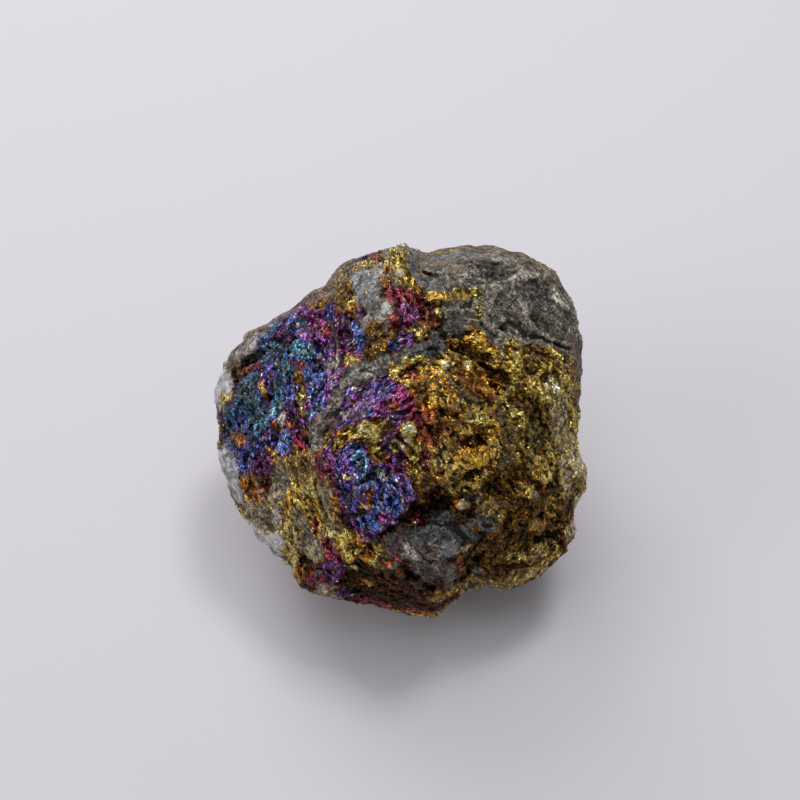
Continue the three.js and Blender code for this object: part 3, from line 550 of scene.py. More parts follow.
# Which way the ore's grain runs: [x, u, v] of a spot, and the direction there, as [x, u, v].
STREAKS = [
    ((22, 2, 8), (0.45, -0.87, -0.2)),
    ((24, -10, 5), (0.4, -0.9, 0.1)),
    ((17, -18, 4), (0.75, 0.6, 0.2)),
    ((13, 8, 14), (0.85, -0.5, -0.1)),
    ((9, -2, 18), (0.7, -0.65, 0.0)),
    ((2, -6, 18), (0.5, -0.85, 0.0)),
    ((-5, 3, 18), (0.8, 0.55, 0.0)),
    ((-5, -10, 15), (0.3, -0.95, 0.0)),
    ((-16, -12, 10), (0.15, -1.0, -0.2)),
    ((-16, -21, 4), (0.2, -0.95, -0.3)),
    ((-2, -26, 2), (0.95, -0.2, 0.0)),
    ((9, -22, 5), (0.25, -0.95, -0.2)),
    ((-18, 6, 12), (0.2, -0.95, -0.1)),
    ((-19, 18, 1), (0.75, 0.65, 0.0)),
    ((-26, 12, 1), (0.7, 0.7, 0.0)),
    ((-29, -4, 0), (0.1, -1.0, 0.0)),
    ((0, 24, 8), (0.2, -0.95, 0.3)),
    ((12, 26, 4), (0.97, -0.05, 0.0)),
    ((22, 20, 6), (0.6, -0.75, 0.0)),
    ((27, 14, 2), (0.15, -0.95, 0.0)),
    ((0, 10, -20), (0.9, 0.3, 0.0)),
    ((-16, 0, -14), (0.3, 0.9, 0.0)),
    ((18, 0, -14), (0.2, 0.9, 0.2)),
]

# The belly and the back, placed the same way from underneath.
UNDER_PATCHES = [
    ("grey rock", 7, [(-2, 22), (8, 24), (18, 19)]),
    ("dark rock", 4, [(4, 23), (12, 20)]),
    ("blue-grey rock", 3, [(-4, 20), (2, 22)]),
    ("grey rock", 5, [(-2, 3), (4, -2)]),
    ("olive gold", 6, [(20, 8), (22, -4)]),
    ("blue", 3.5, [(-21, 10), (-16, 15)]),
    ("purple", 2.5, [(-22, 5), (-18, 8)]),
    ("quartz", 1.8, [(1, 19.6), (4, 17.4), (8, 16.8)]),
    ("brown rock", 5, [(-18, -16), (-8, -22)]),
    ("tan gold", 5, [(10, -22), (18, -18)]),
]


# ------------------------------------------------------------------------------------ places and noise
def on_girdle(x, u, v=0.0):
    """The point at [x, u] of the girdle plane, v out of it, in millimetres of the row frame."""
    up, out = math.cos(LEAN), math.sin(LEAN)
    return GIRDLE_MIDDLE + np.array([x, up * u - out * v, out * u + up * v])


CROWN = on_girdle(0, 0, 1) - GIRDLE_MIDDLE  # the crown's axis


def smooth(low, high, value):
    """0 below low, 1 above high, and smooth between them."""
    t = np.clip((value - low) / (high - low), 0, 1)
    return t * t * (3 - 2 * t)


def lot(cells, seed):
    """A repeatable number from 0 to 1 for each row of three whole numbers."""
    n = np.sin(cells @ np.array([127.1, 311.7, 74.7]) + seed * 53.9) * 43758.5453
    return n - np.floor(n)


CORNERS = np.array([[i, j, k] for i in (0, 1) for j in (0, 1) for k in (0, 1)])
NEIGHBOURS = np.array([[i, j, k] for i in (-1, 0, 1) for j in (-1, 0, 1) for k in (-1, 0, 1)])


def cloud(points, across, seed):
    """Smooth noise from -1 to 1 whose features are about that far across."""
    q = points / across
    cell = np.floor(q)
    t = q - cell
    t = t * t * (3 - 2 * t)
    total = np.zeros(len(points))
    for corner in CORNERS:
        weight = np.prod(np.where(corner, t, 1 - t), axis=1)
        total += weight * lot(cell + corner, seed)
    return 2 * total - 1


def clouds(points, across, seed, octaves=3):
    """Several sizes of noise, each half as far across and half as strong as the last."""
    total = sum(cloud(points, across / 2**i, seed + i) / 2**i for i in range(octaves))
    return total / sum(0.5**i for i in range(octaves))


def chips(points, across, seed):
    """Height of small tilted planes, one for each cell of a jumbled lattice: a surface of broken chips."""
    q = points / across
    cell = np.floor(q)
    nears, heights = [], []
    for step in NEIGHBOURS:
        at = cell + step
        stray = np.stack([lot(at, seed + i) for i in range(3)], axis=1) - 0.5
        tilt = 2 * np.stack([lot(at, seed + 3 + i) for i in range(3)], axis=1) - 1
        away = q - (at + 0.5 + 0.8 * stray)
        nears.append(np.sum(away * away, axis=1))
        heights.append(np.sum(away * tilt, axis=1) + lot(at, seed + 6) - 0.5)
    nears = np.array(nears)
    weights = np.exp(-CHIP_EDGE * (nears - nears.min(axis=0)))
    return np.sum(weights * np.array(heights), axis=0) / weights.sum(axis=0)


def crests(points, across, seed):
    """Sharp crests with rounded hollows between them, from -1 to 1."""
    return 1 - 2 * np.abs(clouds(points, across, seed, 2)) ** 0.7


def grain_lines(points):
    """The direction of the ore's grain at each point, and which streak it belongs to."""
    spots = np.array([on_girdle(x, u, v) for (x, u, v), _ in STREAKS])
    bent = points + 2.0 * np.stack([clouds(points, 4.0, 101 + i) for i in range(3)], axis=1)
    nearest = np.argmin([np.sum((bent - spot) ** 2, axis=1) for spot in spots], axis=0)
    lines = np.array([on_girdle(*run) - GIRDLE_MIDDLE for _, run in STREAKS])
    lines /= np.linalg.norm(lines, axis=1, keepdims=True)
    return lines[nearest], nearest


def along_the_grain(points, lines, streak):
    """The points, drawn together along the grain of the ore, so that noise read there runs in streaks."""
    along = np.sum(points * lines, axis=1)
    return points - (1 - STREAK_SQUEEZE) * along[:, None] * lines + 7.0 * streak[:, None]


def grain_lots(points, across, seed):
    """A lot for each point, from 0 to 1 and the same throughout a grain of about that size."""
    bent = points + 0.5 * across * np.stack([cloud(points, across, seed + i) for i in range(3)], axis=1)
    return lot(np.floor(bent / across), seed)


# ------------------------------------------------------------------------------------ meshes
def new_object(name, data):
    """An object of the scene, at the origin."""
    obj = bpy.data.objects.new(name, data)
    bpy.context.scene.collection.objects.link(obj)
    return obj


def apply_modifiers(obj):
    """Leaves the object with the plain mesh that its modifiers give."""
    evaluated = obj.evaluated_get(bpy.context.evaluated_depsgraph_get())
    obj.data = bpy.data.meshes.new_from_object(evaluated)
    obj.modifiers.clear()


def fine_copy(node, name):
    """A closed, evenly meshed copy of a CAD node."""
    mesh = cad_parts[node].data.copy()
    bm = bmesh.new()
    bm.from_mesh(mesh)
    bmesh.ops.remove_doubles(bm, verts=bm.verts, dist=1e-6)
    bm.to_mesh(mesh)
    bm.free()
    obj = new_object(name, mesh)
    remesh = obj.modifiers.new("Even mesh", "REMESH")
    remesh.mode = "VOXEL"
    remesh.voxel_size = VOXEL * MM
    apply_modifiers(obj)
    obj.data.materials.clear()
    return obj


def points_of(mesh):
    """The mesh's points, in millimetres."""
    co = np.empty(3 * len(mesh.vertices), np.float32)
    mesh.vertices.foreach_get("co", co)
    return co.reshape(-1, 3).astype(float) / MM


def put_points(mesh, points):
    """Moves the mesh's points to these places, in millimetres."""
    mesh.vertices.foreach_set("co", (points * MM).astype(np.float32).ravel())
    mesh.update()


def normals_of(mesh):
    """The surface's direction at each of the mesh's points."""
    normals = np.empty(3 * len(mesh.vertices), np.float32)
    mesh.vertices.foreach_get("normal", normals)
    return normals.reshape(-1, 3).astype(float)


def neighbour_mean(mesh):
    """A function that averages each point's values over the points that it shares an edge with."""
    ends = np.empty(2 * len(mesh.edges), np.int32)
    mesh.edges.foreach_get("vertices", ends)
    a, b = ends.reshape(-1, 2).T
    count = len(mesh.vertices)
    shared = np.maximum(np.bincount(a, minlength=count) + np.bincount(b, minlength=count), 1)

    def mean(values):
        columns = values.reshape(count, -1).T
        sums = [np.bincount(a, c[b], count) + np.bincount(b, c[a], count) for c in columns]
        return (np.array(sums) / shared).T.reshape(values.shape)

    return mean


def surface_point(tree, x, u, side):
    """Where the line of sight over or under [x, u] meets the stone, in millimetres."""
    eye = on_girdle(0, 0, side * EYE_DISTANCE)
    aim = on_girdle(x, u) - eye
    hit = tree.ray_cast(Vector(eye * MM), Vector(aim).normalized())[0]
    if hit is None:  # past the outline: the nearest point of the stone
        hit = tree.find_nearest(Vector(on_girdle(x, u) * MM))[0]
    return np.array(hit) / MM


def distance_to_path(points, path):
    """Distance from each point to a path of straight pieces."""
    best = np.linalg.norm(points - path[0], axis=1)
    for a, b in zip(path, path[1:]):
        along = b - a
        t = np.clip((points - a) @ along / max(along @ along, 1e-9), 0, 1)
        best = np.minimum(best, np.linalg.norm(points - a - t[:, None] * along, axis=1))
    return best


# ------------------------------------------------------------------------------------ the stone
def paint(points, tree):
    """The tone of every point, as a dict of named shares."""
    mottle = clouds(points, 7.0, 5)
    below = smooth(-1.0, -6.0, (points - GIRDLE_MIDDLE) @ CROWN)
    tint = {
        "film": 0.07 + 0.85 * below * smooth(-0.15, 0.75, clouds(points, 11.0, 31)),
        "rock": 0.08 + 0.9 * smooth(-0.05, 0.3, mottle),
        "warm": clouds(points, 5.0, 23),
        "quartz": np.zeros(len(points)),
        "dark": 0.1 + 0.5 * clouds(points, 4.0, 17),
        "coarse": 1 - 0.35 * smooth(-0.05, 0.3, mottle),
    }
    # A patch has a ragged edge, and near it the tarnish changes grain by grain.
    ragged = 0.40 * clouds(points, 2.2, 41, 4) + 0.15 * cloud(points, 6.0, 43)
    lots = 0.6 * grain_lots(points, 0.45, 51) + 0.4 * grain_lots(points, 1.0, 57)
    for table, side in ((UNDER_PATCHES, -1), (PATCHES, 1)):
        for tone, reach, path in table:
            line = [surface_point(tree, x, u, side) for x, u in path]
            away = distance_to_path(points, line) / reach + ragged
            share = smooth(1.25, 0.75, away)
            speckled = smooth(-0.08, 0.08, 0.95 * smooth(1.35, 0.7, away) - lots)
            for name, value in TONES[tone].items():
                fade = share if name in ("dark", "coarse") else speckled
                tint[name] += fade * (value - tint[name])
    return tint


def darken_seams(tint, mean):
    """A dark line where the tarnish changes at once from one colour to another."""
    jump = np.abs(mean(tint["film"]) - tint["film"])
    tint["dark"] = np.minimum(tint["dark"] + 0.5 * smooth(0.03, 0.22, jump), 0.9)


def carve(points, normals, tree):
    """The points, moved in and out by the small forms: flat-topped lumps, ledges, hollows and cracks."""
    ragged = 0.45 * clouds(points, 1.6, 83)
    rise = np.zeros(len(points))
    for height, reach, path in FORMS:
        line = [surface_point(tree, x, u, 1) for x, u in path]
        rise += height * smooth(1.5, 0.5, distance_to_path(points, line) / reach + ragged)
    return points + rise[:, None] * normals


def relief(points, flow):
    """Height of the broken chips and crests; those that are read at the flow points run along the grain."""
    rise = 0.28 * chips(points, 3.9, 59) + 0.34 * chips(flow, 2.1, 61)
    rise += 0.18 * chips(points, 1.1, 71) + 0.12 * chips(flow, 0.7, 73)
    rise += 0.30 * crests(flow, 2.6, 77) + 0.22 * crests(flow, 1.1, 79) - 0.2
    return rise


def note_depths(tint, points, normals, mean):
    """Adds how far each point lies below the surface around it: gap near by, and hollow farther off."""
    # The finishes use these for painted shade: they darken gaps and hollows and lighten what stands above
    # them.
    around = points
    for name, rounds in (("gap", 3), ("hollow", 22)):
        for _ in range(rounds):
            around = mean(around)
        tint[name] = np.sum((around - points) * normals, axis=1)


def note_crystals(tint, points, flow, moved):
    """Adds how thickly crystals of ore and of rock sit at each point, above and below the girdle."""
    calm = np.clip(1 - 1.6 * tint["quartz"], 0, 1) * smooth(0.9, 1.6, moved[:, 2])
    above = (moved - GIRDLE_MIDDLE) @ CROWN > 0
    rocky = smooth(0.45, 0.8, tint["rock"])
    ore_clumps = 0.35 + 0.65 * smooth(-0.3, 0.15, clouds(flow, 1.8, 91))
    rock_clumps = 0.4 + 0.6 * smooth(-0.15, 0.25, clouds(points, 2.2, 95))
    ore = (1 - rocky) * smooth(0.1, 0.5, tint["coarse"]) * ore_clumps
    rock = rocky * smooth(0.2, 0.6, tint["coarse"]) * rock_clumps
    for side, there in (("crown", above), ("belly", ~above)):
        tint[side + " ore"] = there * calm * ore
        tint[side + " rock"] = there * calm * rock


def store(mesh, tint, lines):
    """Keeps the tones and the grain's direction as attributes of the mesh."""
    for name, values in tint.items():
        attribute = mesh.attributes.new(name, "FLOAT", "POINT")
        attribute.data.foreach_set("value", values.astype(np.float32))
    attribute = mesh.attributes.new("run", "FLOAT_VECTOR", "POINT")
    attribute.data.foreach_set("vector", lines.astype(np.float32).ravel())


def stone():
    """The stone's own surface, painted, carved and broken up."""
    obj = fine_copy("peacock_ore", "stone")
    mesh = obj.data
    mean = neighbour_mean(mesh)
    points = points_of(mesh)
    for _ in range(VOXEL_STEPS_OFF):
        points += 0.6 * (mean(points) - points)
    put_points(mesh, points)

    tree = BVHTree.FromPolygons([v.co for v in mesh.vertices], [p.vertices for p in mesh.polygons])
    tint = paint(points, tree)
    darken_seams(tint, mean)
    points = carve(points, normals_of(mesh), tree)
    put_points(mesh, points)
    normals = normals_of(mesh)

    above_sole = smooth(0.0, 1.5, points[:, 2])
    coarse = tint["coarse"] * above_sole
    lines, streak = grain_lines(points)
    flow = along_the_grain(points, lines, streak)
    moved = points + (relief(points, flow) * coarse)[:, None] * normals
    moved[:, 2] = np.maximum(moved[:, 2], 0)
    put_points(mesh, moved)

    note_depths(tint, moved, normals, mean)
    note_crystals(tint, points, flow, moved)
    store(mesh, tint, lines)
    thin = obj.modifiers.new("Thin", "DECIMATE")
    thin.ratio = THINNED
    apply_modifiers(obj)
    return obj


# ------------------------------------------------------------------------------------ nodes
def in_use(sockets):
    """The sockets that the node's settings leave in use."""
    return [s for s in sockets if s.enabled]


def live(sockets, name):
    """The socket of that name which is in use."""
    return next(s for s in in_use(sockets) if s.name == name)


class Nodes:
    """A node tree that is being built. Each input is a value, or another node's output."""

    def __init__(self, tree):
        self.tree = tree

    def feed(self, socket, value):
        """Gives a socket a value, or links another node's output to it."""
        if isinstance(value, bpy.types.NodeSocket):
            self.tree.links.new(value, socket)
        else:
            socket.default_value = value

    def add(self, kind, inputs=None, **settings):
        """A new node with its settings, and its inputs by name."""
        node = self.tree.nodes.new(kind)
        for name, value in settings.items():
            setattr(node, name, value)
        for name, value in (inputs or {}).items():
            self.feed(live(node.inputs, name), value)
        return node

    def in_order(self, values, kind, **settings):
        """A new node whose inputs in use are given in their own order."""
        node = self.add(kind, **settings)
        for socket, value in zip(in_use(node.inputs), values):
            self.feed(socket, value)
        return node

    def reckon(self, operation, *values, clamp=False):
        """One step of arithmetic."""
        return self.in_order(values, "ShaderNodeMath", operation=operation, use_clamp=clamp).outputs[0]

    def times(self, a, b):
        return self.reckon("MULTIPLY", a, b)

    def less(self, a, b):
        return self.reckon("SUBTRACT", a, b)

    def vector(self, operation, *values, out="Vector"):
        """One step of arithmetic on vectors."""
        node = self.in_order(values, "ShaderNodeVectorMath", operation=operation)
        return live(node.outputs, out)

    def between(self, share, a, b):
        """The number a where share is 0, and b where it is 1."""
        node = self.in_order((share, a, b), "ShaderNodeMix", data_type="FLOAT")
        return in_use(node.outputs)[0]

    def colour(self, share, a, b, blend="MIX"):
        """The colour a where share is 0, and b where it is 1."""
        node = self.in_order((share, a, b), "ShaderNodeMix", data_type="RGBA", blend_type=blend)
        return in_use(node.outputs)[0]

    def spread(self, value, low, high, to_low=0.0, to_high=1.0):
        """value from low..high to to_low..to_high, smooth at both ends."""
        ends = {"From Min": low, "From Max": high, "To Min": to_low, "To Max": to_high}
        node = self.add("ShaderNodeMapRange", {"Value": value, **ends}, interpolation_type="SMOOTHSTEP")
        return node.outputs[0]

    def ramp(self, value, stops):
        """A colour for value, from a list of places and colours."""
        node = self.add("ShaderNodeValToRGB", {"Fac": value})
        elements = node.color_ramp.elements
        while len(elements) < len(stops):
            elements.new(0.5)
        for element, (place, colour) in zip(elements, stops):
            element.position = place
            element.color = colour
        return node.outputs["Color"]

    def attribute(self, name, out="Fac"):
        """What the stone's surface carries under that name."""
        return self.add("ShaderNodeAttribute", attribute_name=name).outputs[out]

    def noise(self, place, scale, detail, out=0):
        """Cloudy noise, with that many clouds to the metre."""
        inputs = {"Vector": place, "Scale": scale, "Detail": detail}
        return self.add("ShaderNodeTexNoise", inputs).outputs[out]

    def cells(self, place, scale):
        """Three lots for each of the jumbled cells, that many to the metre, as one colour."""
        return self.add("ShaderNodeTexVoronoi", {"Vector": place, "Scale": scale}).outputs["Color"]

    def edges(self, place, scale):
        """The distance to the nearest edge of such cells."""
        inputs = {"Vector": place, "Scale": scale}
        node = self.add("ShaderNodeTexVoronoi", inputs, feature="DISTANCE_TO_EDGE")
        return node.outputs["Distance"]

    def stirred(self, place, noise, amount):
        """The place, moved about by coloured noise."""
        return self.vector("MULTIPLY_ADD", noise, (amount, amount, amount), place)

    def parts(self, colour):
        """A colour's three parts."""
        return self.add("ShaderNodeSeparateColor", {"Color": colour}).outputs


# ------------------------------------------------------------------------------------ finishes
def rgb(r, g, b):
    """A colour given as it shows on a screen, 0 to 255."""
    return [(c / 255) ** 2.2 for c in (r, g, b)] + [1.0]


FILM_COLOURS = [
    (0.00, rgb(240, 224, 160)),
    (0.10, rgb(226, 186, 88)),
    (0.20, rgb(218, 140, 50)),
    (0.28, rgb(206, 108, 62)),
    (0.36, rgb(176, 62, 78)),
    (0.45, rgb(166, 72, 130)),
    (0.55, rgb(140, 82, 164)),
    (0.65, rgb(116, 96, 186)),
    (0.78, rgb(80, 102, 188)),
    (0.88, rgb(90, 146, 202)),
    (0.96, rgb(68, 132, 146)),
    (1.00, rgb(48, 104, 112)),
]
DULL_GOLD = rgb(94, 70, 36)
DULL_COLOURS = [(0.0, rgb(38, 29, 40)), (0.5, rgb(76, 64, 84)), (0.85, rgb(152, 138, 120))]
GREYS = [(0.3, rgb(66, 63, 60)), (0.5, rgb(102, 98, 93)), (0.72, rgb(148, 143, 134))]
BLUE_GREY = rgb(98, 108, 120)
BROWN = rgb(114, 92, 68)
HAIRLINE = rgb(172, 169, 160)
WHITES = [(0.3, rgb(108, 105, 107)), (0.6, rgb(176, 173, 173))]
STAINED_WHITE = rgb(172, 156, 128)

# Cells to the metre.
GRAINS = 3000.0
GRAIN_EDGES = 2600.0
FLECKS = 4400.0
PEPPER = 3600.0
MOTTLES = 420.0
VEINS = 420.0
CRACKS = 300.0


def metal_colour(n, film, tarnished, mottle, lots):
    """Most grains have the tarnish of the patch; a few are cleaner, and some are dull and brown."""
    few = n.reckon("MULTIPLY_ADD", tarnished, 0.20, 0.12)
    film = n.reckon("MULTIPLY_ADD", n.less(mottle, 0.5), few, film)
    film = n.reckon("MULTIPLY_ADD", n.less(lots[1], 0.5), 0.06, film, clamp=True)
    film = n.between(n.spread(lots[2], 0.96, 0.98), film, n.times(lots[1], 0.08))
    dull = n.spread(n.less(lots[2], few), 0.05, -0.05, 0.0, 0.85)
    dull_colour = n.colour(tarnished, DULL_GOLD, n.ramp(lots[1], DULL_COLOURS))
    return n.colour(dull, n.ramp(film, FILM_COLOURS), dull_colour)


def rock_colour(n, warm, mottle, wavy, metal):
    """Grey rock, cooler or browner by its tint, with pale hairlines and a little of the ore's colour."""
    cool = n.colour(n.spread(warm, 0.0, -1.0, 0.0, 0.85), n.ramp(mottle, GREYS), BLUE_GREY)
    brown = n.colour(n.spread(warm, 0.0, 1.0, 0.0, 0.75), cool, BROWN)
    stained = n.colour(0.08, brown, metal)
    return n.colour(n.spread(n.edges(wavy, VEINS), 0.05, 0.0, 0.0, 0.35), stained, HAIRLINE)


def ore_shine(n, own, bent, thread, lots, small, tarnished):
    """How brightly each grain of ore shines, and each fleck in it."""
    # Painted light and shade: each grain and fleck is brightened or darkened at random, partly its own tone
    # and partly painted glint; on the bare stone thin crests get painted highlight and the grains' edges
    # painted shade.
    shine = n.spread(lots[0], 0.0, 1.0, 0.38, 1.5)
    if not own:
        shine = n.reckon("MULTIPLY_ADD", thread, 0.5, n.times(shine, 0.68))
        shine = n.times(shine, n.spread(n.edges(bent, GRAIN_EDGES), 0.0, 0.12, 0.4, 1.0))
    gold_fleck = n.spread(small[0], 0.0, 1.0, 0.40, 1.75)
    blue_fleck = n.spread(small[0], 0.0, 1.0, 0.32, 2.1)
    return n.times(shine, n.between(tarnished, gold_fleck, blue_fleck))


def rock_shine(n, coarse, gap, pepper, lots, cracked):
    """The rock's salt and pepper, which is fainter where the rock is smooth."""
    faint = n.spread(pepper, 0.0, 1.0, 0.55, 1.45)
    strong = n.spread(pepper, 0.0, 1.0, 0.22, 1.95)
    salt = n.between(n.spread(coarse, 0.2, 0.5), faint, strong)
    salt = n.times(salt, n.spread(lots[0], 0.0, 1.0, 0.65, 1.3))
    # Painted shade in the rock's gaps, and painted light on its crests.
    salt = n.times(salt, n.spread(gap, -0.07, 0.08, 1.35, 0.4))
    return n.times(salt, cracked)


def ore_finish(name, own=False):
    """Broken ore. Each grain has its own tilt, brightness and tarnish; own is for crystals with theirs."""
    material = bpy.data.materials.new(name)
    material.use_nodes = True
    n = Nodes(material.node_tree)
    n.tree.nodes.clear()
    place = n.add("ShaderNodeTexCoord").outputs["Object"]
    names = ("film", "rock", "warm", "quartz", "dark", "coarse", "gap", "hollow")
    value = {key: n.attribute(key) for key in names}
    run = n.attribute("run", "Vector")
    along = n.vector("DOT_PRODUCT", place, run, out="Value")
    bent = n.vector("ADD", place, n.vector("SCALE", run, n.times(along, STREAK_SQUEEZE - 1)))
    if own:
        grains = n.attribute("own", "Vector")
    else:
        bent = n.stirred(bent, n.noise(place, 1100.0, 2.0, "Color"), 0.5 * MM)
        grains = n.cells(bent, GRAINS)
    lots = n.parts(grains)
    flecks = n.cells(bent, FLECKS)
    pepper = n.parts(n.cells(place, PEPPER))[0]
    mottle = n.noise(place, MOTTLES, 4.0)
    wavy = n.stirred(place, n.noise(place, 300.0, 4.0, "Color"), 5 * MM)
    wave = n.reckon("ABSOLUTE", n.reckon("MULTIPLY_ADD", n.noise(bent, 1500.0, 2.0), 2.0, -1.0))
    # Thin crests, painted as highlight in the bare stone's colour and raised in the bump.
    thread = n.spread(wave, 0.0, 0.22, 1.0, 0.0)  # thin bright crests
    broken = n.reckon("MULTIPLY_ADD", n.spread(mottle, 0.42, 0.6), 0.8, 0.2)
    cracked = n.spread(n.times(n.edges(wavy, CRACKS), broken), 0.0, 0.03, 0.4, 1.0)
    tarnished = n.spread(value["film"], 0.28, 0.6)

    rock = n.spread(n.less(value["rock"], lots[1]), -0.12, 0.12)
    rock = n.reckon("MAXIMUM", rock, n.spread(value["rock"], 0.7, 0.88))
    quartz = n.spread(n.less(value["quartz"], lots[0]), -0.25, 0.15)
    metal = metal_colour(n, value["film"], tarnished, mottle, lots)
    stone_grey = rock_colour(n, value["warm"], mottle, wavy, metal)
    white = n.colour(n.spread(value["warm"], 0.2, 1.0, 0.0, 0.9), n.ramp(mottle, WHITES), STAINED_WHITE)
    colour = n.colour(quartz, n.colour(rock, metal, stone_grey), white)

    # Bright crests and black gaps, painted light and painted shade by how far the surface stands out or
    # lies in; quartz and rock have a softer grain than ore.
    shine = ore_shine(n, own, bent, thread, lots, n.parts(flecks), tarnished)
    shine = n.times(shine, n.spread(value["gap"], -0.07, 0.08, 1.45, 0.35))
    shine = n.times(shine, n.spread(value["hollow"], -0.3, 0.35, 1.35, 0.42))
    salt = rock_shine(n, value["coarse"], value["gap"], pepper, lots, cracked)
    glassy = n.times(n.spread(pepper, 0.0, 1.0, 0.75, 1.2), cracked)
    # Painted shade in the quartz's gaps.
    glassy = n.times(glassy, n.spread(value["gap"], -0.06, 0.08, 1.1, 0.7))
    shine = n.between(quartz, n.between(rock, shine, salt), glassy)
    # The patches' dark: partly their own darkness, and partly painted shade and painted highlight.
    shine = n.times(shine, n.spread(value["dark"], -1.0, 1.0, 1.5, 0.08))
    colour = n.colour(1.0, colour, shine, blend="MULTIPLY")
    metallic = n.reckon("SUBTRACT", 1.0, n.reckon("MAXIMUM", rock, quartz), clamp=True)

    # Each fleck is tilted its own way, ore more than rock.
    turn = n.spread(metallic, 0.0, 1.0, 0.4, 0.7 if own else 1.1)
    tilt = n.vector("SCALE", n.vector("SUBTRACT", flecks, (0.5, 0.5, 0.5)), turn)
    normal = n.add("ShaderNodeNewGeometry").outputs["Normal"]
    normal = n.vector("NORMALIZE", n.vector("ADD", tilt, normal))
    fine = n.reckon("MULTIPLY_ADD", n.times(thread, metallic), 0.6, n.noise(place, 3000.0, 3.0))
    bump = {"Height": fine, "Normal": normal, "Strength": 0.4, "Distance": 0.0002}
    surface = {
        "Base Color": colour,
        "Metallic": metallic,
        "Roughness": n.spread(metallic, 0.0, 1.0, 0.62, 0.30),
        "Normal": n.add("ShaderNodeBump", bump).outputs[0],
    }
    shader = n.add("ShaderNodeBsdfPrincipled", surface)
    n.add("ShaderNodeOutputMaterial", {"Surface": shader.outputs[0]})
    return material


# ------------------------------------------------------------------------------------ crystals
CRYSTAL_INPUTS = {
    "Stone": "NodeSocketGeometry",
    "Where": "NodeSocketString",
    "Spacing": "NodeSocketFloat",
    "Size": "NodeSocketVector",
    "Rings": "NodeSocketInt",
    "Lean": "NodeSocketFloat",
    "Turn": "NodeSocketFloat",
    "Roughness": "NodeSocketFloat",
    "Seed": "NodeSocketInt",
    "Finish": "NodeSocketMaterial",
}


def crystal_tree():
    """Small angular crystals, scattered over the stone along its grain and half sunk in it."""
    tree = bpy.data.node_groups.new("crystals", "GeometryNodeTree")
    for name, kind in CRYSTAL_INPUTS.items():
        tree.interface.new_socket(name, in_out="INPUT", socket_type=kind)
    tree.interface.new_socket("Crystals", in_out="OUTPUT", socket_type="NodeSocketGeometry")
    n = Nodes(tree)
    given = n.add("NodeGroupInput").outputs

    def named(name, kind="FLOAT"):
        node = n.add("GeometryNodeInputNamedAttribute", {"Name": name}, data_type=kind)
        return live(node.outputs, "Attribute")

    def random(low, high, step):
        """Three lots from low to high for each crystal; step sets one draw apart from the next."""
        limits = {"Min": (low, low, low), "Max": (high, high, high)}
        seed = n.reckon("ADD", given["Seed"], step)
        node = n.add("FunctionNodeRandomValue", {**limits, "Seed": seed}, data_type="FLOAT_VECTOR")
        return live(node.outputs, "Value")

    spread_out = {
        "Mesh": given["Stone"],
        "Distance Min": given["Spacing"],
        "Density Max": n.reckon("DIVIDE", 3.0, n.times(given["Spacing"], given["Spacing"])),
        "Density Factor": named(given["Where"]),
        "Seed": given["Seed"],
    }
    points = n.add("GeometryNodeDistributePointsOnFaces", spread_out, distribute_method="POISSON").outputs
    own = n.add(
        "GeometryNodeStoreNamedAttribute",
        {"Geometry": points["Points"], "Name": "own", "Value": random(0, 1, 1)},
        data_type="FLOAT_VECTOR",
        domain="POINT",
    ).outputs[0]

    along = n.add(
        "FunctionNodeAlignRotationToVector",
        {"Rotation": points["Rotation"], "Vector": named("run", "FLOAT_VECTOR")},
        axis="X",
        pivot_axis="Z",
    ).outputs[0]
    limits = {"X": given["Lean"], "Y": given["Lean"], "Z": given["Turn"]}
    lean = n.vector("MULTIPLY", random(-1, 1, 2), n.add("ShaderNodeCombineXYZ", limits).outputs[0])
    lean = n.add("FunctionNodeEulerToRotation", {"Euler": lean}).outputs[0]
    turned = n.add(
        "FunctionNodeRotateRotation", {"Rotation": along, "Rotate By": lean}, rotation_space="LOCAL"
    ).outputs[0]
    size = n.vector("MULTIPLY", given["Size"], random(0.6, 1.4, 3))
    size = n.vector("SCALE", size, n.spread(named("coarse"), 0.2, 1.0, 0.45, 1.0))

    blank = {"Segments": 4, "Rings": given["Rings"], "Radius": 0.5}
    block = n.add("GeometryNodeMeshUVSphere", blank).outputs[0]
    placed = n.add(
        "GeometryNodeInstanceOnPoints",
        {"Points": own, "Instance": block, "Rotation": turned, "Scale": size},
    ).outputs[0]
    joined = n.add("GeometryNodeRealizeInstances", {"Geometry": placed}).outputs[0]
    rough = n.vector("SCALE", random(-1, 1, 4), given["Roughness"])
    joined = n.add("GeometryNodeSetPosition", {"Geometry": joined, "Offset": rough}).outputs[0]
    flat = n.add("GeometryNodeSetShadeSmooth", {"Geometry": joined, "Shade Smooth": False}).outputs[0]
    finished = {"Geometry": flat, "Material": given["Finish"]}
    done = n.add("GeometryNodeSetMaterial", finished).outputs[0]
    n.add("NodeGroupOutput", {"Crystals": done})
    return tree


def crystals(surface, tree, name, finish, **sizes):
    """One piece of crystals over the stone's surface, as a plain mesh."""
    obj = new_object(name, surface.data)
    modifier = obj.modifiers.new("Crystals", "NODES")
    modifier.node_group = tree
    sizes["Finish"] = finish
    for item in tree.interface.items_tree:
        if item.name in sizes:
            modifier[item.identifier] = sizes[item.name]
    apply_modifiers(obj)
    points = points_of(obj.data)
    points[:, 2] = np.maximum(points[:, 2], 0)  # none reaches through the floor
    put_points(obj.data, points)
    return obj


# ------------------------------------------------------------------------------------ studio
LIGHTS = [  # name, watts, metres across, azimuth, elevation, metres from the stone
    ("key", 0.85, 0.14, 30, 66, 0.6),
    ("overhead", 3.1, 1.0, -10, 75, 1.0),
    ("back", 2.6, 0.5, -25, 35, 0.9),
    ("left", 1.7, 0.5, -100, 28, 0.9),
]


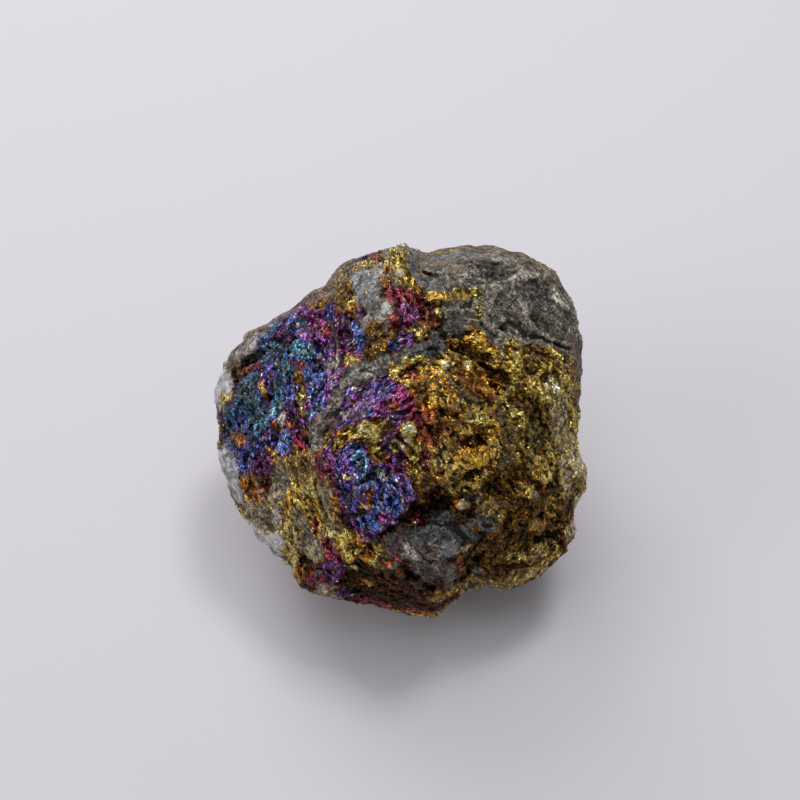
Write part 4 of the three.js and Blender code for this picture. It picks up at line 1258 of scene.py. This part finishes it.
def area_light(name, power, size, azimuth, elevation, distance):
    """A square light that looks at the stone. azimuth is from +Y towards +X, in degrees."""
    data = bpy.data.lights.new(name, "AREA")
    data.energy = power
    data.size = size
    lamp = new_object(name, data)
    a, e = math.radians(azimuth), math.radians(elevation)
    away = Vector((math.sin(a) * math.cos(e), math.cos(a) * math.cos(e), math.sin(e)))
    lamp.location = Vector(GIRDLE_MIDDLE * MM) + distance * away
    lamp.rotation_euler = (-away).to_track_quat("-Z", "Y").to_euler()


def studio():
    """A pale floor under plain soft light."""
    half = 1.5  # metres
    corners = [(-half, -half, 0), (half, -half, 0), (half, half, 0), (-half, half, 0)]
    mesh = bpy.data.meshes.new("floor")
    mesh.from_pydata(corners, [], [(0, 1, 2, 3)])
    floor = new_object("floor", mesh)
    paper = bpy.data.materials.new("pale paper")
    paper.use_nodes = True
    shader = paper.node_tree.nodes["Principled BSDF"]
    shader.inputs["Base Color"].default_value = rgb(222, 219, 226)
    shader.inputs["Roughness"].default_value = 0.7
    mesh.materials.append(paper)

    world = bpy.data.worlds.new("studio")
    bpy.context.scene.world = world
    world.use_nodes = True
    world.node_tree.nodes["Background"].inputs["Color"].default_value = (0.95, 0.96, 1.0, 1.0)
    world.node_tree.nodes["Background"].inputs["Strength"].default_value = 0.22
    for light in LIGHTS:
        area_light(*light)
    bpy.context.scene.view_settings.view_transform = "Standard"


def camera():
    """Looks straight down the crown's axis."""
    data = bpy.data.cameras.new("camera")
    data.sensor_width = 36
    data.lens = 61.6
    data.shift_x = -0.00375
    data.shift_y = 0.0375
    data.clip_start = 0.01
    view = new_object("camera", data)
    view.location = Vector(on_girdle(0, 0, EYE_DISTANCE) * MM)
    view.rotation_euler = (LEAN, 0, 0)
    bpy.context.scene.camera = view


# ------------------------------------------------------------------------------------ the object
slivers = dict(Spacing=0.31 * MM, Size=Vector((0.66, 0.32, 0.22)) * MM, Lean=0.32, Turn=0.7)
grains = dict(Spacing=0.36 * MM, Size=Vector((0.40, 0.32, 0.26)) * MM, Lean=0.60, Turn=1.5)
alike = dict(Rings=2, Roughness=0.05 * MM)

body = stone()
scatter = crystal_tree()
grain_finish = ore_finish("ore crystals", own=True)
pieces = [body]
for side in ("crown", "belly"):
    for kind, sizes in (("ore", slivers), ("rock", grains)):
        name = f"{side}_{kind}_crystals"
        draw = dict(Where=f"{side} {kind}", Seed=len(pieces))
        pieces.append(crystals(body, scatter, name, grain_finish, **draw, **sizes, **alike))
body.data.materials.append(ore_finish("broken ore"))
body.data.polygons.foreach_set("use_smooth", [False] * len(body.data.polygons))
for piece in pieces:
    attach(piece, "root")
    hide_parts("peacock_ore")

studio()
camera()
